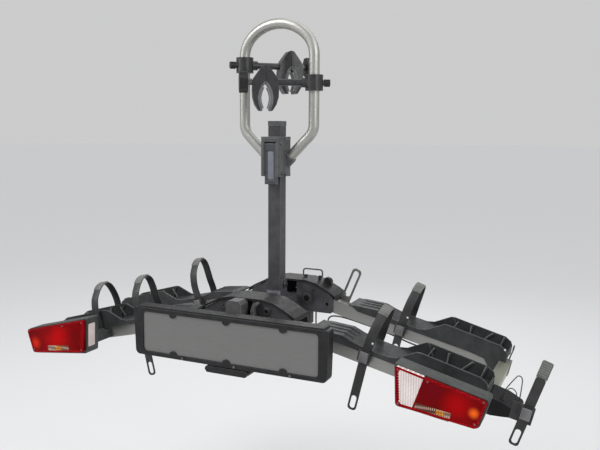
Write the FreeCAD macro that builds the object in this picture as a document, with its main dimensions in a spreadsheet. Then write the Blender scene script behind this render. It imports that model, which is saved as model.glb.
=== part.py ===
import FreeCAD, Part
import math
import os
import re

os.makedirs("parts", exist_ok=True)
doc = FreeCAD.newDocument("bike_rack")
Vec = FreeCAD.Vector
Rot = FreeCAD.Rotation
Place = FreeCAD.Placement

# Sizes in millimetres and degrees. The origin is the centre of the towball socket,
# X is to the right, Y towards the car and Z up.
sizes = {
    "ball_r": 25.0, "ball_clear": 0.2, "run_gap": 0.05, "seat_gap": 0.2, "ear_gap": 0.3,
    "mast_y": -170.0, "deck_z": 105.0, "droop": 13.2,
    "rail_near": -180.0, "rail_pitch": 286.0, "rail_w": 28.0, "rail_h": 40.0, "rail_wall": 2.5,
    "rail_start": 37.0, "rail_end": 676.0, "pivot_u": 51.4, "lock_u": 121.2, "pivot_r": 6.0,
    "ear_t": 4.0, "ear_x": 137.0, "hub_low": 55.0, "spine_w": 44.0, "spine_wall": 4.0, "spine_low": 55.0, "spine_high": 5.0,
    "cover_depth": 88.0, "cover_t": 3.0, "cover_lead": 4.0,
    "tray_start": 186.0, "tray_end": 662.0, "tray_w": 97.0, "tray_wall": 4.0, "tray_floor": 4.0,
    "cross_u": 644.0, "cross_w": 30.0, "cross_h": 36.0, "nose_end": 744.0,
    "lamp_face": -312.0, "lamp_lens": 11.8, "lamp_deep": 48.0,
    "plate_w": 520.0, "plate_h": 110.0, "plate_t": 2.0, "plate_z": -54.0, "plate_y": -296.0,
    "holder_w": 578.0, "holder_h": 132.0, "holder_deep": 31.0,
    "mast_side": 38.0, "mast_wall": 2.5, "mast_low": 26.0, "mast_high": 505.0, "mast_pin_z": 46.0,
    "cap_side": 42.0, "block_w": 60.0, "block_near": 46.0, "block_far": 30.0,
    "block_low": 363.0, "block_high": 475.0, "slide_gap": 0.3,
    "lever_w": 36.0, "lever_low": 340.0, "lever_t": 14.0, "lever_pin_z": 452.0,
    "hoop_r": 15.0, "hoop_wall": 2.0, "hoop_half": 110.0, "hoop_y": 10.0, "hoop_top": 792.0,
    "hoop_rise": 92.0, "hoop_side_r": 80.0,
    "hoop_bend_z": 490.0, "hoop_bend_r": 46.0, "hoop_foot_x": 33.0,
    "front_z": 625.0, "front_turn": 212.0, "back_z": 679.0, "back_turn": 43.0,
    "sleeve_t": 3.0, "sleeve_h": 40.0, "collar_r": 25.0, "collar_h": 44.0,
    "arm_r": 9.5, "rod_r": 4.0, "claw_x": 137.0, "claw_t": 34.0,
    "tilt_y": 20.0, "tilt_z": -86.0, "arm_x": 44.0,
    "strap_w": 24.0, "strap_t": 3.0, "bail_r": 2.2,
}
sheet = doc.addObject("Spreadsheet::Sheet", "Sizes")
for row, (name, value) in enumerate(sizes.items(), start=1):
    sheet.set("A%d" % row, name)
    sheet.set("B%d" % row, str(value))
    sheet.setAlias("B%d" % row, name)
doc.recompute()
S = sizes


def linked(text):
    return re.sub(r"[A-Za-z_]\w*", lambda m: "Sizes." + m.group(0) if m.group(0) in sizes else m.group(0), text)


def bind(thing, prop, size):
    if isinstance(size, str):
        thing.setExpression(prop, linked(size))
    else:
        setattr(thing, prop, size)


def at(x, y, z):
    return Vec(x, y + S["mast_y"], z + S["deck_z"])


DROOP = Rot(Vec(0, 1, 0), S["droop"])
LEVEL = Rot()


def wing(u, y, w):
    return Place(at(0, y, 0) + DROOP.multVec(Vec(u, 0, w)), DROOP)


def box(name, lx, ly, lz, base, rot=LEVEL):
    thing = doc.addObject("Part::Box", name)
    bind(thing, "Length", lx)
    bind(thing, "Width", ly)
    bind(thing, "Height", lz)
    thing.Placement = base if isinstance(base, Place) else Place(base, rot)
    return thing


AXES = {"x": Rot(Vec(0, 1, 0), 90), "y": Rot(Vec(1, 0, 0), -90), "z": LEVEL}


def rod(name, r, h, base, axis="z", rot=LEVEL):
    thing = doc.addObject("Part::Cylinder", name)
    bind(thing, "Radius", r)
    bind(thing, "Height", h)
    thing.Placement = Place(base, rot.multiply(AXES[axis]))
    return thing


def corner_path(points, radius):
    """Closed outline of lines and tangent arcs; each point is (x, y) or (x, y, own radius)."""
    count = len(points)
    cuts = []
    for i, point in enumerate(points):
        r = point[2] if len(point) > 2 else radius
        here = Vec(point[0], point[1], 0)
        before = Vec(*points[i - 1][:2], 0) - here
        after = Vec(*points[(i + 1) % count][:2], 0) - here
        turn = before.getAngle(after)
        reach = 0.0
        if r > 0 and 0.05 < turn < math.pi - 0.05:
            reach = min(r / math.tan(turn / 2), 0.45 * before.Length, 0.45 * after.Length)
        start = here + before.normalize() * reach
        end = here + after.normalize() * reach
        middle = None
        if reach > 0:
            own = reach * math.tan(turn / 2)
            half = (before + after).normalize()
            centre = here + half * (own / math.sin(turn / 2))
            middle = centre - half * own
        cuts.append((start, middle, end))
    parts = []
    for i, (start, middle, end) in enumerate(cuts):
        if middle is not None:
            parts.append(Part.Arc(start, middle, end))
        following = cuts[(i + 1) % count][0]
        if (following - end).Length > 1e-6:
            parts.append(Part.LineSegment(end, following))
    return parts


def prism(name, points, plane, depth, place, radius=0):
    body = doc.addObject("PartDesign::Body", name)
    own = [item for item in body.Origin.OriginFeatures if item.Role == plane][0]
    sketch = body.newObject("Sketcher::SketchObject", name + "_outline")
    sketch.AttachmentSupport = [(own, "")]
    sketch.MapMode = "FlatFace"
    for part in corner_path(points, radius):
        sketch.addGeometry(part, False)
    pad = body.newObject("PartDesign::Pad", name + "_pad")
    pad.Profile = sketch
    bind(pad, "Length", depth)
    body.Tip = pad
    sketch.Visibility = False
    body.Placement = place if isinstance(place, Place) else Place(place, LEVEL)
    return body


def side_prism(name, points, depth, y_far, radius=0):
    """Outline in X and Z of the deck, running from y_far - depth to y_far."""
    return prism(name, points, "XZ_Plane", depth, at(0, y_far, 0), radius)


def wing_prism(name, points, depth, y_far, radius=0):
    return prism(name, points, "XZ_Plane", depth, wing(0, y_far, 0), radius)


def fuse(name, *things):
    if len(things) == 1:
        return things[0]
    thing = doc.addObject("Part::MultiFuse", name)
    thing.Shapes = list(things)
    return thing


def group(name, *things):
    thing = doc.addObject("Part::Compound", name)
    thing.Links = list(things)
    return thing


def cut(name, base, *tools):
    thing = doc.addObject("Part::Cut", name)
    thing.Base = base
    thing.Tool = fuse(name + "_tools", *tools)
    return thing


def mirrored(name, source):
    thing = doc.addObject("Part::Mirroring", name)
    thing.Source = source
    thing.Base = Vec(0, 0, 0)
    thing.Normal = Vec(1, 0, 0)
    return thing


def tube_along(name, points, bends, radius, bore=None):
    """Round bar or tube of straight runs joined by tangent bends."""
    def hollowed(piece, make):
        return piece if bore is None else cut(piece.Name + "_wall", piece, make(piece.Name + "_bore", bore))

    parts = []
    last = points[0]
    for i in range(1, len(points)):
        here = points[i]
        stop = here
        following = here
        if i < len(points) - 1:
            back = (points[i - 1] - here).normalize()
            ahead = (points[i + 1] - here).normalize()
            half = back.getAngle(ahead) / 2
            bend = bends[i - 1]
            reach = bend / math.tan(half)
            stop = here + back * reach
            following = here + ahead * reach
            centre = here + (back + ahead).normalize() * (bend / math.sin(half))
            out = (stop - centre).normalize()
            normal = out.cross(back * -1).normalize()
            place = Place(centre, Rot(out, normal.cross(out), normal, "XZY"))

            def ring(label, r, place=place, bend=bend, half=half):
                thing = doc.addObject("Part::Torus", label)
                bind(thing, "Radius1", bend)
                bind(thing, "Radius2", r)
                bind(thing, "Angle3", math.degrees(math.pi - 2 * half))
                thing.Placement = place
                return thing

            parts.append(hollowed(ring("%s_bend_%d" % (name, i), radius), ring))
        length = (stop - last).Length
        if length > 0.01:
            place = Place(last, Rot(Vec(0, 0, 1), stop - last))

            def run(label, r, place=place, length=length):
                thing = doc.addObject("Part::Cylinder", label)
                bind(thing, "Radius", r)
                bind(thing, "Height", length)
                thing.Placement = place
                return thing

            parts.append(hollowed(run("%s_run_%d" % (name, i), radius), run))
        last = following
    return fuse(name, *parts)


nodes = {}


def keep(name, thing):
    thing.Label = name
    nodes[name] = thing
    return thing


# Towball coupling
arm_half = S["arm_x"] / 2
tilt = at(0, S["tilt_y"], S["tilt_z"])
arm_low = tilt.z - 13
ball_tool = doc.addObject("Part::Sphere", "ball_space")
bind(ball_tool, "Radius", "ball_r + ball_clear")
head = prism("coupling_head", [(-34, -12), (34, -12), (34, 36), (-34, 36)], "XY_Plane", 46, Vec(0, 0, -10), 12)
rear = prism("coupling_rear", [(-34, -34), (34, -34), (34, -8), (-34, -8)], "XY_Plane", 38, Vec(0, 0, -2), 5)
beam = box("coupling_beam", "arm_x", -28 - (tilt.y - 15), 26, Vec(-arm_half, tilt.y - 15, arm_low))
tilt_hole = rod("tilt_hole", "pivot_r + run_gap", 120, Vec(-60, tilt.y, tilt.z), "x")
lever_y = -80.0
lever_hole = rod("lever_hole", "5 + run_gap", 80, Vec(-40, lever_y, tilt.z), "x")
keep("coupling_housing", cut("coupling_cut", fuse("coupling_all", head, rear, beam), ball_tool, tilt_hole, lever_hole))
lever_out = arm_half + 0.5
grip_y = lever_y - 62
lever_side = [(lever_y + 9, tilt.z - 9), (lever_y + 9, tilt.z + 9), (lever_y - 9, tilt.z + 9),
              (grip_y + 2, -8), (grip_y + 2, -24), (grip_y + 18, -24)]
lever_plates = [prism("lever_plate_%d" % i, lever_side, "YZ_Plane", 5, Vec(x, 0, 0), 4)
                for i, x in enumerate((lever_out, -lever_out - 5))]
grip = box("lever_grip", 2 * lever_out + 6, 14, 14, Vec(-lever_out - 3, grip_y + 4, -23))
stubs = [rod("lever_stub_%d" % i, 5, 15, Vec(x, lever_y, tilt.z), "x") for i, x in enumerate((lever_out - 12, -lever_out - 3))]
keep("coupling_lever", fuse("lever_all", *lever_plates, grip, *stubs))


def bolt(name, start, axis, length):
    """Bolt with a round head, a socket and a nut; start is the outer face of the first plate."""
    way = AXES[axis].multVec(Vec(0, 0, 1))
    shank = rod(name + "_shank", "pivot_r", length + 4, start - way * 1, axis)
    top = rod(name + "_top", 10, 5, start - way * (5 + S["seat_gap"]), axis)
    nut = rod(name + "_nut", 10, 6, start + way * (length + S["seat_gap"]), axis)
    well = rod(name + "_well", 5, 3, start - way * (5 + S["seat_gap"]), axis)
    return cut(name, fuse(name + "_all", shank, top, nut), well)


# Centre frame with the hub plates
near_1 = S["rail_near"]
near_2 = S["rail_near"] + S["rail_pitch"]
ear_t = S["ear_t"]
slack = S["ear_gap"]
half_spine = S["spine_w"] / 2
spine = box("spine", "spine_w", "rail_pitch + 88", "spine_low - spine_high",
            at(-half_spine, near_1 - slack - ear_t, -S["spine_low"]))
spine_bore = box("spine_bore", "spine_w - 2 * spine_wall", "rail_pitch + 120", "spine_low - spine_high - 2 * spine_wall",
                 at(-half_spine + S["spine_wall"], near_1 - 20, -S["spine_low"] + S["spine_wall"]))
ear_low = -S["hub_low"]
tan_d = math.tan(math.radians(S["droop"]))
ear_points = [(half_spine - 4, ear_low), (S["ear_x"] - 6, ear_low), (S["ear_x"], ear_low + 6),
              (S["ear_x"], -6), (120, 7), (80, 27.5), (44, 36.8), (half_spine - 4, 36.8)]
ears = []
for k, near in enumerate((near_1, near_2)):
    for j, far in enumerate((near - slack, near + S["rail_w"] + slack + ear_t)):
        right = side_prism("ear_%d_%d" % (k, j), ear_points, "ear_t", far, 3)
        ears += [right, mirrored("ear_left_%d_%d" % (k, j), right)]
pivot_x = S["pivot_u"] * math.cos(math.radians(S["droop"]))
pivot_z = -S["pivot_u"] * math.sin(math.radians(S["droop"]))
lock_x = S["lock_u"] * math.cos(math.radians(S["droop"]))
lock_z = -S["lock_u"] * math.sin(math.radians(S["droop"]))
ways = []
for k, near in enumerate((near_1, near_2)):
    for sx in (-1, 1):
        ways.append(rod("pivot_way_%d_%d" % (k, sx), "pivot_r + run_gap", 60,
                        at(sx * pivot_x, near - 15, pivot_z), "y"))
        ways.append(rod("lock_way_%d_%d" % (k, sx), 5, 60, at(sx * lock_x, near - 15, lock_z), "y"))
        ways.append(rod("screw_way_%d_%d" % (k, sx), 3, 14, at(sx * 73, near - 15, 12), "y"))
saddle = box("tilt_saddle", 66, 36, 8, at(-33, S["tilt_y"] - 18, -S["spine_low"] - 6))
lugs = []
for i, x in enumerate((arm_half + 1.0, -arm_half - 1.0 - 9)):
    lugs.append(box("tilt_lug_%d" % i, 9, 30, -S["spine_low"] - S["tilt_z"] + 12,
                    at(x, S["tilt_y"] - 15, S["tilt_z"] - 12)))
pedal_y, pedal_z = -75.0, -70.0
pedal_lugs = [box("pedal_lug_%d" % i, 6, 20, 26, at(x, pedal_y - 10, pedal_z - 8)) for i, x in enumerate((8.3, -14.3))]
pedal_hole = rod("pedal_hole", "4 + run_gap", 60, at(-30, pedal_y, pedal_z), "x")
frame_tilt_hole = rod("frame_tilt_hole", "pivot_r + run_gap", 120, at(-60, S["tilt_y"], S["tilt_z"]), "x")
holder_face = S["plate_y"] - 3.2
wall_y = S["plate_y"] + S["plate_t"] + 5.5
arm_end = near_1 - slack - ear_t
plate_arms = [box("plate_arm_%d" % i, 6, arm_end + 1 - wall_y, 30, at(x, wall_y, -52)) for i, x in enumerate((62, -68))]
plate_wall = box("plate_wall", 220, 4, 62, at(-110, wall_y, -84))
half_mast = S["mast_side"] / 2
foot = box("mast_foot", 48, 48, 23.5, at(-24, -24, -S["spine_high"] - 0.5))
cheeks = [box("mast_cheek_%d" % i, 5, "mast_side", 50, at(x, -half_mast, 12))
          for i, x in enumerate((half_mast + slack, -half_mast - slack - 5))]
front_plate = box("mast_front_plate", 48, 3, 16, at(-24, -24, 14))
gusset = prism("mast_gusset", [(-47, -8), (-20, -8), (-20, 32), (-27, 32)], "XZ_Plane", 30, at(0, 15, 0), 2)
mast_hole = rod("mast_hole", "pivot_r + run_gap", 80, at(-40, 0, S["mast_pin_z"]), "x")
frame_all = fuse("frame_all", spine, saddle, *ears, *lugs, *pedal_lugs, *plate_arms, plate_wall, foot, *cheeks,
                 front_plate, gusset)
keep("centre_frame", cut("frame_cut", frame_all, frame_tilt_hole, pedal_hole, mast_hole, spine_bore, *ways))

# Bolts of the wing hinges, of the mast and of the tilting joint
bolt_len = S["rail_w"] + 2 * slack + 2 * ear_t
bolts = []
for k, near in enumerate((near_1, near_2)):
    for sx in (-1, 1):
        bolts.append(bolt("wing_bolt_%d_%d" % (k, sx), at(sx * pivot_x, near - slack - ear_t, pivot_z), "y", bolt_len))
cheek_out = half_mast + slack + 5
bolts.append(bolt("mast_bolt", at(-cheek_out, 0, S["mast_pin_z"]), "x", 2 * cheek_out))
bolts.append(bolt("tilt_bolt", at(-arm_half - 10, S["tilt_y"], S["tilt_z"]), "x", 2 * arm_half + 20))
keep("pivot_bolts", group("bolt_group", *bolts))

# Arched hub covers
arch = [(-150, -10), (-144, 0), (-124, 12), (-82, 33), (-46, 40), (46, 40), (82, 33), (124, 12), (144, 0),
        (150, -10)]
t = S["cover_t"]
inner = [(146, -10), (142, -2), (122, 12 - t), (81, 33 - t - 0.2), (45, 40 - t), (-45, 40 - t),
         (-81, 33 - t - 0.2), (-122, 12 - t), (-142, -2), (-146, -10)]
wall_low = [(146, -30), (half_spine + 1, -30), (half_spine + 1, -4), (-half_spine - 1, -4),
            (-half_spine - 1, -30), (-146, -30)]


def hub_cover(name, near):
    front = near - slack - ear_t - S["cover_lead"]
    roof = side_prism(name + "_roof", arch + inner, "cover_depth", front + S["cover_depth"], 1.2)
    wall = side_prism(name + "_wall", arch[1:-1] + wall_low, "cover_t", front + S["cover_depth"], 1.2)
    lip = side_prism(name + "_lip", [(x, z + 1.5) for x, z in arch[1:-1]] + [(x, z - 4) for x, z in reversed(arch[1:-1])],
                     "cover_t", front + t, 1.0)
    return roof, wall, lip


front_roof = hub_cover("front_hub", near_1)
keep("front_hub_cover", fuse("front_cover_all", *front_roof))
back_roof = hub_cover("back_hub", near_2)
bail_y = near_2 + 46
lugs_bail = [box("bail_lug_%d" % i, 7, 10, 47.5 - z, at(x, bail_y - 5, z)) for i, (x, z) in enumerate(((23, 38.5), (70, 32)))]
bail_way = rod("bail_way", "bail_r + run_gap", 90, at(5, bail_y, 43.5), "x")
shoulder = prism("cover_shoulder", [(88, 24), (112, 12), (114, 34), (108, 42), (98, 45), (90, 42)], "XZ_Plane",
                 14, at(0, bail_y + 10, 0), 3)
back_all = fuse("back_cover_all", *back_roof, *lugs_bail, shoulder)
keep("back_hub_cover", cut("back_cover_cut", back_all, bail_way))
bail_pts = [at(x, bail_y, z) for x, z in ((31, 43.5), (18, 43.5), (18, 66), (82, 66), (82, 43.5), (69, 43.5))]
keep("bail_handle", tube_along("bail_bar", bail_pts, (4, 8, 8, 4), "bail_r"))

# Number plate holder
py, pz = S["plate_y"], S["plate_z"]
pw, ph = S["plate_w"] / 2, S["plate_h"] / 2
hw, hh = S["holder_w"] / 2, S["holder_h"] / 2
shell = side_prism("holder_shell", [(-hw + 4, pz - hh, 14), (hw - 4, pz - hh, 14), (hw, pz + hh), (-hw, pz + hh)],
                   "holder_deep", holder_face + S["holder_deep"], 5)
seat = side_prism("holder_seat", [(-pw - 0.4, pz - ph - 0.4), (pw + 0.4, pz - ph - 0.4), (pw + 0.4, pz + ph + 0.4),
                                  (-pw - 0.4, pz + ph + 0.4)], 12, py + S["plate_t"] + 0.2, 10)
back_space = side_prism("holder_back", [(-hw + 10, pz - hh + 8), (hw - 12, pz - hh + 8), (hw - 8, pz + hh - 7),
                                        (-hw + 8, pz + hh - 7)], 60, wall_y - 0.2 + 60, 6)
ledge = side_prism("holder_ledge", [(-hw + 10, pz + hh - 4), (hw - 10, pz + hh - 4), (hw - 14, pz + hh + 5),
                                    (-hw + 14, pz + hh + 5)], 34, holder_face + 36, 2)
screw_x = (-134, 25, 185)
screw_z = pz - hh + 5
screw_holes = [rod("plate_screw_hole_%d" % i, "2 + run_gap", 12, at(x, holder_face - 1, screw_z), "y")
               for i, x in enumerate(screw_x)]
clips = []
for i, x in enumerate((-164, 0, 164)):
    for j, (z, sign) in enumerate(((pz + ph + 2, -1), (pz - ph - 2, 1))):
        half_round = [(x - 12, z), (x - 9, z + sign * 9), (x, z + sign * 12), (x + 9, z + sign * 9), (x + 12, z)]
        clips.append(side_prism("clip_%d_%d" % (i, j), half_round, py - 0.2 - holder_face, py - 0.2, 6))
holder = cut("holder_shell_cut", fuse("holder_all", shell, ledge), seat, back_space, *screw_holes)
keep("plate_holder", fuse("holder_whole", holder, *clips))
keep("number_plate_panel", side_prism("panel_pad", [(-pw, pz - ph), (pw, pz - ph), (pw, pz + ph), (-pw, pz + ph)],
                                      "plate_t", py + S["plate_t"], 10))
screws = []
for i, x in enumerate(screw_x):
    top = rod("screw_top_%d" % i, 3.6, 1.8, at(x, holder_face - 1.9, screw_z), "y")
    shank = rod("screw_rod_%d" % i, 2, 6, at(x, holder_face - 1, screw_z), "y")
    screws.append(fuse("screw_%d" % i, top, shank))
keep("plate_screws", group("screw_group", *screws))
catch_y = arm_end - S["cover_lead"] - S["seat_gap"]
lock_block = side_prism("lock_body", [(-40, -30), (6, -30), (6, 30), (-2, 40), (-32, 40), (-40, 30)], 40, catch_y, 4)
hook = side_prism("hook_strip", [(24, -30), (38, -30), (34, -8), (30, 8), (34, 24), (44, 30), (40, 36), (28, 30),
                                 (21, 12), (22, -6)], 14, catch_y, 3)
keep("lock_catch", group("catch_group", lock_block, hook))
pad = side_prism("pedal_pad", [(-58, -140), (58, -140), (64, -131), (60, -123), (-60, -123), (-64, -131)],
                 44, -256, 4)
bar = box("pedal_bar", 16, 246, 14, at(-8, -248, pedal_z - 7))
drop = prism("pedal_drop", [(-262, -139), (-240, -139), (-230, -76), (-230, -63), (-250, -63), (-262, -100)],
             "YZ_Plane", 16, at(-8, 0, 0), 3)
stub = rod("pedal_stub", 4, 28.6, at(-14.3, pedal_y, pedal_z), "x")
keep("tilt_pedal", fuse("pedal_all", pad, bar, drop, stub))

# Wings: everything is drawn on the right and mirrored to the left
rail_far = S["rail_w"]


def rail(name, near):
    outer = box(name + "_outer", "rail_end - rail_start", "rail_w", "rail_h",
                wing(S["rail_start"], near, -S["rail_h"] / 2))
    hollow = box(name + "_inner", "rail_end - rail_start + 20", "rail_w - 2 * rail_wall", "rail_h - 2 * rail_wall",
                 wing(S["rail_start"] - 10, near + S["rail_wall"], -S["rail_h"] / 2 + S["rail_wall"]))
    middle = wing(S["pivot_u"], near - 10, 0).Base
    lock = wing(S["lock_u"], near - 10, 0).Base
    hole = rod(name + "_hole", "pivot_r + run_gap", 60, middle, "y")
    lock_hole = rod(name + "_lock", 5, 60, lock, "y")
    return cut(name, outer, hollow, hole, lock_hole)


def wall_points(low):
    return [(S["tray_start"], 20.3), (212, 28), (278, 36.5), (308, 30), (345, 25), (408, 25), (430, 31), (474, 63),
            (486, 65), (636, 59.5), (654, 51), (660, 40), (S["tray_end"], 20.3)] + low


def tray(name, near):
    floor_w = S["rail_h"] / 2 + 0.3
    out = 6.0
    skirt = [(S["tray_end"], -19), (628, -19), (604, 8), (560, 12), (220, 12), (200, 20.3)]
    near_wall = wing_prism(name + "_near", wall_points(skirt), out - 0.3, near - 0.3, 4)
    edge = [(S["tray_end"], 12), (220, 12), (200, 20.3)]
    far_y = near - out + S["tray_w"]
    far_wall = wing_prism(name + "_far", wall_points(edge), "tray_wall", far_y, 4)
    floor = box(name + "_floor", S["tray_end"] - S["tray_start"] - 4, S["tray_w"] - 5, "tray_floor",
                wing(S["tray_start"] + 3, near - out + 2.5, floor_w))
    skin = [(S["tray_start"] + 5, 22), (212, 28), (278, 36.5), (308, 30), (345, 23), (330, 22), (306, 26),
            (277, 32.5), (213, 24), (202, 21.5)]
    ramp = wing_prism(name + "_ramp", skin, S["tray_w"] - 5, far_y - 2.5, 3)
    end_wall = box(name + "_end", 4, S["tray_w"] - 5, 18, wing(S["tray_end"] - 6, near - out + 2.5, floor_w))
    ribs = []
    for i, (a, b) in enumerate(((482, 500), (538, 536), (600, 580), (634, 628))):
        bar = [(a, 60 - 0.03 * (a - 482)), (a + 4, 60 - 0.03 * (a - 482)), (b + 4, 30), (b + 4, 22), (b, 22), (b, 30)]
        ribs.append(wing_prism(name + "_rib_%d" % i, bar, 6, far_y - 2))
        ribs.append(wing_prism(name + "_rim_%d" % i, bar, 4, near - out + 9))
    grooves = [wing_prism(name + "_ridge_%d" % i, [(208, 25), (217, 30.5), (278, 39.5), (304, 33), (300, 29),
                                                   (277, 34.5), (216, 26.5)], 3, near + shift)
               for i, shift in enumerate((20, 45, 70))]
    room = box(name + "_room", "cross_w + 1", "rail_pitch - rail_w + 0.3", "cross_h + 3",
               wing(S["cross_u"] - 0.5, near_1 + S["rail_w"], -S["cross_h"] / 2 - 2.5))
    return cut(name, fuse(name + "_all", near_wall, far_wall, floor, ramp, end_wall, *ribs, *grooves), room)


def pair(name, right):
    keep("right_" + name, right)
    keep("left_" + name, mirrored("left_" + name + "_mirror", right))


pair("rails", group("rail_group", rail("front_rail_part", near_1), rail("back_rail_part", near_2)))
pair("trays", group("tray_group", tray("front_tray_part", near_1), tray("back_tray_part", near_2)))
cross_y = near_1 + rail_far + S["seat_gap"]
cross = box("cross_bar", "cross_w", "rail_pitch - rail_w - 2 * seat_gap", "cross_h",
            wing(S["cross_u"], cross_y, -S["cross_h"] / 2))
cross_hollow = box("cross_space", "cross_w - 5", "rail_pitch", "cross_h - 5",
                   wing(S["cross_u"] + 2.5, cross_y - 2, -S["cross_h"] / 2 + 2.5))
pair("cross_member", cut("cross_part", cross, cross_hollow))
nose_root = S["tray_end"] + 0.3
nose = wing_prism("nose_body", [(nose_root, -21), (nose_root, 22), (704, 19), (738, 9), (S["nose_end"], 1),
                                (736, -6), (704, -15), (680, -21)], 94, near_1 - 6 + 94, 4)
nose_rail = box("nose_rail_space", S["rail_end"] - 600 + 0.3, "rail_w + 0.6", "rail_h + 0.6",
                wing(600, near_1 - 0.3, -S["rail_h"] / 2 - 0.3))
nose_cross = box("nose_cross_space", S["cross_u"] + S["cross_w"] - 600 + 0.3, 200, "cross_h + 1",
                 wing(600, near_1 + rail_far - 1, -S["cross_h"] / 2 - 0.5))
nose_under = box("nose_under", 100, 54, 30, wing(nose_root + 18, near_1 + 8 + rail_far, -33))
pair("front_rail_end", cut("nose_part", nose, nose_rail, nose_cross, nose_under))

# Lamps
lamp_far = S["lamp_face"] + S["lamp_lens"]
lamp_back = lamp_far + S["seat_gap"] + S["lamp_deep"]
shell = side_prism("lamp_shell", [(454, -41), (676, -98, 8), (653, -169, 14), (458, -145, 8)], "lamp_deep", lamp_back, 4)
hollow = side_prism("lamp_space", [(460, -49), (667, -104), (647, -161), (465, -138)], "lamp_deep", lamp_back - 4, 4)
lamp_arms = [box("lamp_arm_%d" % i, 28, near_1 - S["seat_gap"] - lamp_back + 2, 24, wing(u, lamp_back - 2, -17))
             for i, u in enumerate((478, 560))]
pair("lamp_housing", fuse("lamp_housing_all", cut("lamp_shell_cut", shell, hollow), *lamp_arms))
pair("lamp_red_lens", side_prism("lamp_red", [(528.3, -62.6), (672, -99.4, 7), (650, -165, 12), (500.2, -144.8)],
                                 "lamp_lens", lamp_far, 2))
inner_lens = side_prism("inner_lens", [(458, -44.6, 6), (527.8, -62.4), (499.8, -144.7), (463, -140, 8)],
                        "lamp_lens", lamp_far, 2)
keep("right_lamp_clear_lens", inner_lens)
keep("left_lamp_fog_lens", mirrored("fog_lens_mirror", inner_lens))

# Wheel straps: bands, grey tips, buckles with a release lever
BAND = Rot(Vec(0, 1, 0), Vec(0, 0, 1), Vec(1, 0, 0), "XYZ")
band_w = S["strap_w"]
band_t = S["strap_t"]
front_gap = 6 + S["ear_gap"]


def along(u, near, tilt=0.0, shift=0.0):
    """Local x runs along Y, local y up from the rail, local z along the rail, tilted about the buckle."""
    buckle_w = 10
    lean = Place(Vec(u, 0, buckle_w), Rot(Vec(0, 1, 0), tilt))
    back = Place(Vec(shift, 0, -buckle_w), BAND)
    return Place(at(0, near, 0), DROOP).multiply(lean).multiply(back)


def ribbon(points, thick):
    """Outline of a strip of even thickness along a path, with square ends."""
    one, two = [], []
    for i, (x, y) in enumerate(points):
        here = Vec(x, y, 0)
        steps = []
        if i > 0:
            steps.append((here - Vec(points[i - 1][0], points[i - 1][1], 0)).normalize())
        if i < len(points) - 1:
            steps.append((Vec(points[i + 1][0], points[i + 1][1], 0) - here).normalize())
        mean = Vec()
        for step in steps:
            mean = mean + step
        mean.normalize()
        side = Vec(-mean.y, mean.x, 0) * (thick / 2 / mean.dot(steps[0]))
        a, b = here + side, here - side
        end = i in (0, len(points) - 1)
        one.append((a.x, a.y, 0) if end else (a.x, a.y))
        two.append((b.x, b.y, 0) if end else (b.x, b.y))
    return one + two[::-1]


def strip(name, points, thick, width, u, near, tilt):
    return prism(name, ribbon(points, thick), "XY_Plane", width, along(u, near, tilt, -width / 2), 90)


near_mid = -front_gap - band_t / 2
far_mid = S["tray_w"] - front_gap + S["ear_gap"] * 2 + band_t / 2


def loop(name, u, near, tilt=0.0, tall=1.0, over_wall=False):
    """Near side, grey tip on top and far side of a closed strap."""
    first_path = [(near_mid, 2), (near_mid, 32), (near_mid - 7, 62), (-8, 98), (14, 126)]
    tip_path = [(14.25, 126.35), (18, 131.6), (32, 140.5), (50, 143.9), (54, 142.4)]
    last_path = [(54.3, 142.3), (72, 132), (80, 104), (84, 68), (far_mid, 40), (far_mid, 14)]
    if over_wall:
        first_path[0] = (near_mid, 14)
        last_path[2:5] = [(86, 104), (far_mid, 74)]
    paths = [[(y, w * tall if w > 32 else w) for y, w in path] for path in (first_path, tip_path, last_path)]
    first = strip(name + "_near", paths[0], band_t, band_w, u, near, tilt)
    tip = strip(name + "_tip", paths[1], 5, band_w + 2, u, near, tilt)
    last = strip(name + "_far", paths[2], band_t, band_w, u, near, tilt)
    return first, tip, last


def slotted(name, u, near, high, low):
    """Hanging end of a strap with a long hole."""
    half = band_w / 2
    flat = prism(name + "_flat", [(u - half, low), (u + half, low), (u + half, high, 0), (u - half, high, 0)], "XZ_Plane",
                 "strap_t", wing(0, near - front_gap, 0), 9)
    hole = prism(name + "_hole", [(u - half + 5, low + 5), (u + half - 5, low + 5), (u + half - 5, low + 40),
                                  (u - half + 5, low + 40)], "XZ_Plane", 12, wing(0, near, 0), 6.9)
    return cut(name, flat, hole)


def buckle(name, u, near, deep=0.0, up=0.0):
    """Frame around the band, with two ears that carry the release lever."""
    face = near - front_gap - band_t - 0.2
    half = band_w / 2 + 2.5
    bridge = box(name + "_bridge", 2 * half + 5, 4, 30, wing(u - half - 2.5, face - 4, up - 8))
    sides = [box(name + "_side_%d" % i, 2.5, band_t + 1.2 + deep, 30, wing(x, face - 1, up - 8))
             for i, x in enumerate((u - half - 2.5, u + half))]
    ears = [box(name + "_ear_%d" % i, 3, 9, 12, wing(x, face - 12, up + 10))
            for i, x in enumerate((u - 14.8, u + 11.8))]
    pin = rod(name + "_ear_hole", 2.05, 60, wing(u - 30, face - 8, up + 16).Base, "x", DROOP)
    return cut(name, fuse(name + "_all", bridge, *sides, *ears), pin)


def release(name, u, near, up=0.0):
    face = near - front_gap - band_t - 0.2
    mid = face - 8 - near
    plate = prism(name + "_plate", [(mid - 3.4, up - 9), (mid + 3.4, up - 9), (mid + 3.4, up + 19.4, 3.3),
                                    (mid - 3.4, up + 19.4, 3.3)], "XY_Plane", 23, along(u, near, 0, -11.5), 1.5)
    pin = rod(name + "_pin", 2, 29, wing(u - 14.5, face - 8, up + 16).Base, "x", DROOP)
    return fuse(name, plate, pin)


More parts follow.
